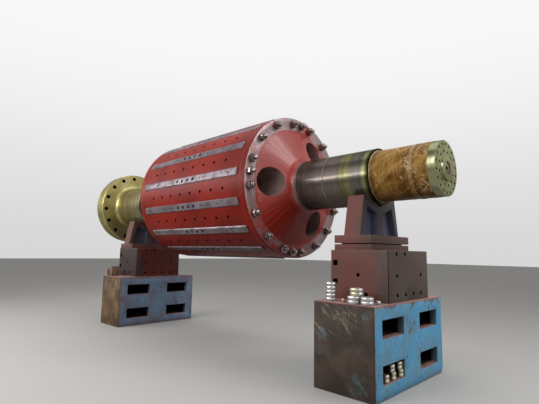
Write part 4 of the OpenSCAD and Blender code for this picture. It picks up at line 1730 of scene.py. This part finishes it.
@dataclass
class Stand:
    """One stand: its hollow base block, riser block, levelling plate if it has one, and vee block."""

    side: str
    paint: OldPaint
    flank: RustySide
    riser: Primer
    vee: Primer
    vee_end: Primer
    plated: bool = False
    chipped: bool = False
    ledge: Primer = Primer(
        "ledge_primer", coat=srgb(158, 124, 120), grey=srgb(170, 160, 164),
        half=(9.0, 9.0, 0.9), middle=(0.0, 0.0, 0.0),
    )
    pocket: Primer = Primer(
        "vee_pocket", coat=srgb(78, 80, 98), grey=srgb(90, 98, 124),
        half=(9.0, 9.0, 1.9), middle=(0.0, 0.0, 0.0),
    )
    # Bore walls are coloured near black: painted shade, over some dirt.
    hole: DarkHollow = DarkHollow("painted_shade_stand_hole", dark_tone=srgb(20, 12, 11), dust=srgb(42, 30, 27))
    wall: float = 0.085
    inside: float = 0.02
    bore_margin: float = 0.003
    flat: float = 0.7
    knock: float = 0.075
    knock_turn: Triple = (0.62, 0.55, -0.56)
    vee_inset: float = 0.094
    vee_web: float = 0.02
    foot_height: float = 0.1
    thin: float = 0.2

    def sized(self, finish: Finish, node: str) -> Finish:
        """Fits a finish that follows a block's edges to the block's own box.

        Args:
            finish: The finish.
            node: The block's node.

        Returns:
            The fitted finish.
        """
        low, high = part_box(node)
        middle = tuple(round(v, 4) for v in (low + high) / 2)
        half = tuple(round(v, 4) for v in (high - low) / 2)
        return replace(finish, middle=middle, half=half)

    def base(self) -> None:
        """Dresses the hollow base block, its corner broken where it has been knocked."""
        node = f"{self.side}_base_block"
        low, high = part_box(node)
        # The casting's inside is coloured near black as painted shade over some dirt; its sill is rubbed pink.
        hollow = DarkHollow(f"{self.side}_casting_hollow", sill_from=high.x - self.wall - 0.01)
        paint = self.sized(self.paint, node)
        # The window jambs get a darker, greyer copy of the blue paint: painted shade, with more chipping as
        # real wear.
        shaded_reveal = replace(
            paint, name=f"{self.side}_base_reveal", paint=srgb(88, 112, 124), faded=srgb(98, 104, 110),
            worn=0.35, chipped=0.3,
        )
        finishes = [paint, self.flank, hollow, self.ledge, shaded_reveal]
        piece = Workpiece.from_node(node, f"{self.side}_base", Body.STANDS, finishes)
        if self.chipped:
            piece.cut_corner((high.x, high.y - self.knock, 0.0), self.knock_turn)
        # Inner faces take the painted shade.
        piece.assign(2, lambda middle, normal: within(middle, low, high, self.inside))
        # Window jambs take the painted-shade copy of the paint.
        piece.assign(
            4, lambda middle, normal: (
                within(middle, low, high, self.inside)
                and abs(normal.y) > self.flat and middle.x > high.x - self.wall
            ),
        )
        piece.assign(3, lambda middle, normal: normal.z > self.flat and middle.z > high.z - 0.01)
        piece.assign(1, lambda middle, normal: normal.y < -self.flat and middle.y < low.y + self.inside)
        piece.round_edges(0.008)
        piece.set_down(node, slot=f"{self.side}_base", smooth=50.0)

    def block(self, node: str, finish: Primer, slot: str) -> None:
        """Dresses the riser block or the levelling plate.

        Args:
            node: The block's node.
            finish: Its primer.
            slot: Its material slot.
        """
        low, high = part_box(node)
        finishes = [self.sized(finish, node), self.hole]
        piece = Workpiece.from_node(node, node.replace("_block", "_casting"), Body.STANDS, finishes)
        if high.z - low.z > self.thin:
            # Bore walls take the painted shade.
            piece.assign(1, lambda middle, normal: within(middle, low, high, self.bore_margin))
        piece.round_edges(
            0.003, 60.0, lambda edge: not any(
                within(face.calc_center_median(), low, high, self.bore_margin) for face in edge.link_faces
            ),
        )
        piece.set_down(node, slot=slot, smooth=50.0)

    def cradle(self) -> None:
        """Dresses the vee block: its foot, flanks, two Y-shaped ends and the pockets between them."""
        node = f"{self.side}_vee_block"
        low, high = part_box(node)
        centre = (low.x + high.x) / 2
        finishes = [self.sized(self.vee, node), self.vee_end, self.pocket]
        piece = Workpiece.from_node(node, f"{self.side}_cradle", Body.STANDS, finishes)
        for face in piece.mesh.faces:
            middle = face.calc_center_median()
            aside = abs(middle.x - centre)
            if middle.z < low.z + self.foot_height:
                face.material_index = 0
            elif abs(face.normal.x) > 0.5:
                face.material_index = 1 if aside > self.vee_inset else 2
            elif self.vee_web < aside < self.vee_inset:
                face.material_index = 2
        piece.round_edges(0.004, 50.0)
        piece.set_down(node, slot=f"{self.side}_vee", smooth=50.0)

    def build(self) -> None:
        """Builds the stand's pieces."""
        self.base()
        self.block(f"{self.side}_riser_block", self.riser, f"{self.side}_riser")
        if self.plated:
            plate = replace(self.vee, name=f"{self.side}_plate_primer")
            self.block(f"{self.side}_levelling_plate", plate, f"{self.side}_plate")
        self.cradle()


@dataclass
class LoosePacking:
    """The turned packing rings on the near stand and the timbers on the far one."""

    tiers: int = 5
    steel: RingSteel = RingSteel("packing_steel")
    cream: RingSteel = RingSteel(
        "packing_cream", bright=srgb(204, 200, 176), dull=srgb(158, 150, 128), rust_cover=0.16,
    )
    pink: RingSteel = RingSteel(
        "packing_pink", bright=srgb(196, 170, 162), dull=srgb(148, 110, 100), rust_cover=0.24,
    )
    tall_timber: Weathered = Weathered("tan_timber")
    low_timber: Weathered = Weathered(
        "red_timber", light=srgb(104, 62, 48), dark=srgb(62, 34, 28), foot=srgb(70, 32, 26),
    )
    window_top: float = 0.5
    bright_stack: tuple[float, float] = (-0.44, -0.34)
    small_ring: float = 2.7
    stacked: tuple[float, float] = (2.78, 2.91)
    low_timber_width: float = 0.102

    def tone(self, middle: Vector, tier: int) -> int:
        """Chooses a ring's finish by where it stands.

        Args:
            middle: The middle of one of its faces.
            tier: Its tier, from 1.

        Returns:
            The finish's place in the list.
        """
        if middle.z < self.window_top:
            return 0 if tier > 2 and self.bright_stack[0] < middle.y < self.bright_stack[1] else 1
        if abs(middle.x - self.small_ring) < 0.04:
            return 2
        return 1 if tier > 2 and self.stacked[0] < middle.x < self.stacked[1] else 0

    def rings(self) -> None:
        """Dresses the rings, tier by tier."""
        for tier in range(1, self.tiers + 1):
            node = f"packing_tier_{tier}"
            finishes = [self.steel, self.cream, self.pink]
            piece = Workpiece.from_node(node, f"packing_rings_{tier}", Body.STANDS, finishes)
            for face in piece.mesh.faces:
                face.material_index = self.tone(face.calc_center_median(), tier)
            piece.set_down(node, slot=f"packing_steel_{tier}", smooth=50.0)

    def timbers(self) -> None:
        """Dresses the two sawn timbers, their edges worn round."""
        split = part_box("timber_blocks")[0].x + self.low_timber_width
        finishes = [self.low_timber, self.tall_timber]
        piece = Workpiece.from_node("timber_blocks", "sawn_timbers", Body.STANDS, finishes)
        piece.assign(1, lambda middle, normal: middle.x > split)
        piece.round_edges(0.006, 50.0)
        piece.set_down("timber_blocks", slot="old_timber", smooth=50.0)

    def build(self) -> None:
        """Builds the rings and timbers."""
        self.rings()
        self.timbers()


@dataclass(frozen=True)
class Lamp:
    """A large soft lamp aimed at a point."""

    name: str
    place: Triple
    aim: Triple
    size: tuple[float, float]
    power: float

    def switch_on(self) -> None:
        """Hangs the lamp."""
        data = bpy.data.lights.new(self.name, "AREA")
        data.shape = "RECTANGLE"
        data.size, data.size_y = self.size
        data.energy = self.power
        lamp = linked(self.name, data)
        lamp.location = self.place
        lamp.rotation_euler = (Vector(self.aim) - Vector(self.place)).to_track_quat("-Z", "Y").to_euler()


@dataclass
class Studio:
    """The plain floor, the soft lamps, the pale surroundings and the camera."""

    camera_place: Triple = (5.1683, -4.3832, 1.4071)
    yaw: float = 0.7726
    pitch: float = 0.1226
    roll: float = 0.0159
    focal_pixels: float = 407.417
    frame_pixels: float = 539.0
    sensor: float = 36.0
    lamps: tuple[Lamp, ...] = (
        Lamp("key", (1.0, -8.5, 6.5), (0.2, 0.0, 2.0), (9.0, 4.0), 320.0),
        Lamp("top", (0.0, 0.5, 8.5), (0.0, 0.0, 2.0), (9.0, 5.0), 160.0),
        Lamp("end", (9.5, 0.5, 3.5), (2.5, 0.0, 1.2), (4.0, 4.0), 150.0),
        Lamp("cone", (5.4, 1.8, 6.5), (1.5, -0.3, 2.6), (1.7, 2.4), 120.0),
        Lamp("strip", (-2.5, -6.5, 3.8), (1.5, 0.0, 2.33), (10.0, 0.5), 300.0),
    )
    light_level: float = 0.35
    floor_colour: Colour = srgb(184, 182, 178)
    floor_bounce: Colour = srgb(74, 64, 57)
    horizon: Colour = srgb(214, 214, 214)
    sky: Colour = srgb(248, 248, 248)
    overhead: Colour = srgb(92, 92, 94)

    def camera(self) -> None:
        """Sets up the camera at the photograph's place, turn and lens."""
        forward = Vector((
            -math.sin(self.yaw) * math.cos(self.pitch),
            math.cos(self.yaw) * math.cos(self.pitch),
            math.sin(self.pitch),
        ))
        level = Vector((math.cos(self.yaw), math.sin(self.yaw), 0.0))
        upright = level.cross(forward)
        right = math.cos(self.roll) * level + math.sin(self.roll) * upright
        up = math.cos(self.roll) * upright - math.sin(self.roll) * level
        data = bpy.data.cameras.new("view")
        data.sensor_width = self.sensor
        data.lens = self.sensor * self.focal_pixels / self.frame_pixels
        data.clip_end = 200.0
        camera = linked("view", data)
        turn = Matrix((right, up, -forward)).transposed().to_4x4()
        camera.matrix_world = Matrix.Translation(self.camera_place) @ turn
        bpy.context.scene.camera = camera

    def seen(self, tree: Tree) -> Wire:
        """Tells what is seen, directly or in metal and glass, from what only lights.

        Args:
            tree: The tree to lay it out in.

        Returns:
            1 for rays that show it.
        """
        rays = tree.add("LightPath")
        shown = [Wire(tree, rays.outputs[f"Is {kind} Ray"]) for kind in ("Camera", "Glossy", "Transmission")]
        return tree.math("MAXIMUM", tree.math("MAXIMUM", shown[0], shown[1]), shown[2])

    def floor(self) -> None:
        """Lays the floor, which throws little light up under the object."""
        mesh = bmesh.new()
        bmesh.ops.create_grid(mesh, x_segments=1, y_segments=1, size=60.0)
        data = bpy.data.meshes.new("floor")
        mesh.to_mesh(data)
        mesh.free()
        material = bpy.data.materials.new("floor")
        material.use_nodes = True
        tree = Tree(material.node_tree)
        colour = tree.mix(self.seen(tree), self.floor_bounce, self.floor_colour)
        tree.fill(material.node_tree.nodes["Principled BSDF"], **{"Base Color": colour, "Roughness": 0.8})
        data.materials.append(material)
        linked("floor", data)

    def surroundings(self) -> None:
        """Makes the world a plain soft light, which the camera and gloss see as pale grey."""
        world = bpy.data.worlds.new("surroundings")
        bpy.context.scene.world = world
        world.use_nodes = True
        world.node_tree.nodes.clear()
        tree = Tree(world.node_tree)
        height = tree.split(Wire(tree, tree.add("TexCoord").outputs["Generated"]))[2]
        sky = tree.mix(height.ramp(-0.05, 0.5), self.horizon, self.sky)
        sky = tree.mix(height.ramp(0.57, 0.8), sky, self.overhead)
        lamp = Wire(tree, tree.add("Background", (1.0, 1.0, 1.0, 1.0), self.light_level).outputs[0])
        backdrop = Wire(tree, tree.add("Background", sky, 1.0).outputs[0])
        both = Wire(tree, tree.add("MixShader", self.seen(tree), lamp, backdrop).outputs[0])
        tree.add("OutputWorld", both)

    def build(self) -> None:
        """Builds the studio."""
        self.camera()
        self.floor()
        self.surroundings()
        for lamp in self.lamps:
            lamp.switch_on()
        bpy.context.scene.view_settings.view_transform = "Standard"


def near_stand() -> Stand:
    """Gives the stand under the drilled shaft end."""
    face, side = 3.105, -0.811
    bare = (
        (-0.02, 0.62, 0.2), (0.62, 0.84, 0.22), (-0.69, 0.28, 0.12), (0.18, 0.3, 0.14),
        (-0.16, 0.3, 0.1), (0.5, 0.9, 0.28), (-0.5, 0.9, 0.2), (0.0, 0.88, 0.16),
    )
    painted = ((2.92, 0.14, 0.24), (2.46, 0.56, 0.16), (3.01, 0.79, 0.09), (2.45, 0.4, 0.1))
    scraped = ((2.6, 0.82, 0.26), (2.82, 0.72, 0.24), (2.5, 0.62, 0.2))
    return Stand(
        side="near",
        paint=OldPaint(
            "near_base_blue", top_line=srgb(146, 104, 98), top_line_from=0.884,
            bare_spots=tuple(Spot(face, y, z, reach) for y, z, reach in bare),
        ),
        flank=RustySide(
            "near_base_side", paint_spots=tuple(Spot(x, side, z, reach) for x, z, reach in painted),
            scrape_spots=tuple(Spot(x, side, z, reach) for x, z, reach in scraped),
        ),
        riser=Primer("near_riser_primer", oil_spots=(Spot(3.086, 0.1, 0.93, 0.32),)),
        vee=Primer("near_vee_primer", coat=srgb(112, 66, 62), grey=srgb(88, 68, 60)),
        vee_end=Primer("near_vee_end", coat=srgb(66, 58, 60), grey=srgb(62, 58, 60), half=(9.0, 9.0, 1.9)),
        plated=True,
        chipped=True,
    )


def far_stand() -> Stand:
    """Gives the stand under the coupling end."""
    return Stand(
        side="far",
        paint=OldPaint(
            "far_base_blue", paint=srgb(120, 156, 186), faded=srgb(136, 128, 146), primer=srgb(124, 106, 112),
            rust=srgb(122, 92, 82), worn=0.4, chipped=0.28, faded_share=0.7, soft=0.09,
        ),
        flank=RustySide(
            "far_base_side", brown=srgb(130, 102, 72), dark=srgb(76, 60, 44), paint=srgb(128, 140, 142),
            scrape=srgb(176, 158, 120), paint_spots=(Spot(-2.3, -0.811, 0.82, 0.12),),
            scrape_spots=(Spot(-2.66, -0.811, 0.74, 0.22), Spot(-2.34, -0.811, 0.6, 0.2)),
        ),
        riser=Primer(
            "far_riser_primer", coat=srgb(94, 36, 28), grey=srgb(56, 46, 43),
            grey_side=(0.0, -1.0, 0.0), grey_reach=0.15,
        ),
        vee=Primer("far_vee_primer", coat=srgb(110, 78, 70), grey=srgb(96, 68, 60)),
        vee_end=Primer("far_vee_end", coat=srgb(84, 62, 58), grey=srgb(76, 64, 62), half=(9.0, 9.0, 1.9)),
    )


def main() -> None:
    """Builds every piece in order."""
    logging.basicConfig(level=logging.INFO, format="%(name)s: %(message)s")
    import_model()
    for part in (
        Studio(), Drum(), ClampRods(), Shafts(), JournalWrapping(), near_stand(), far_stand(), LoosePacking(),
    ):
        part.build()


if __name__ == "__main__":
    main()
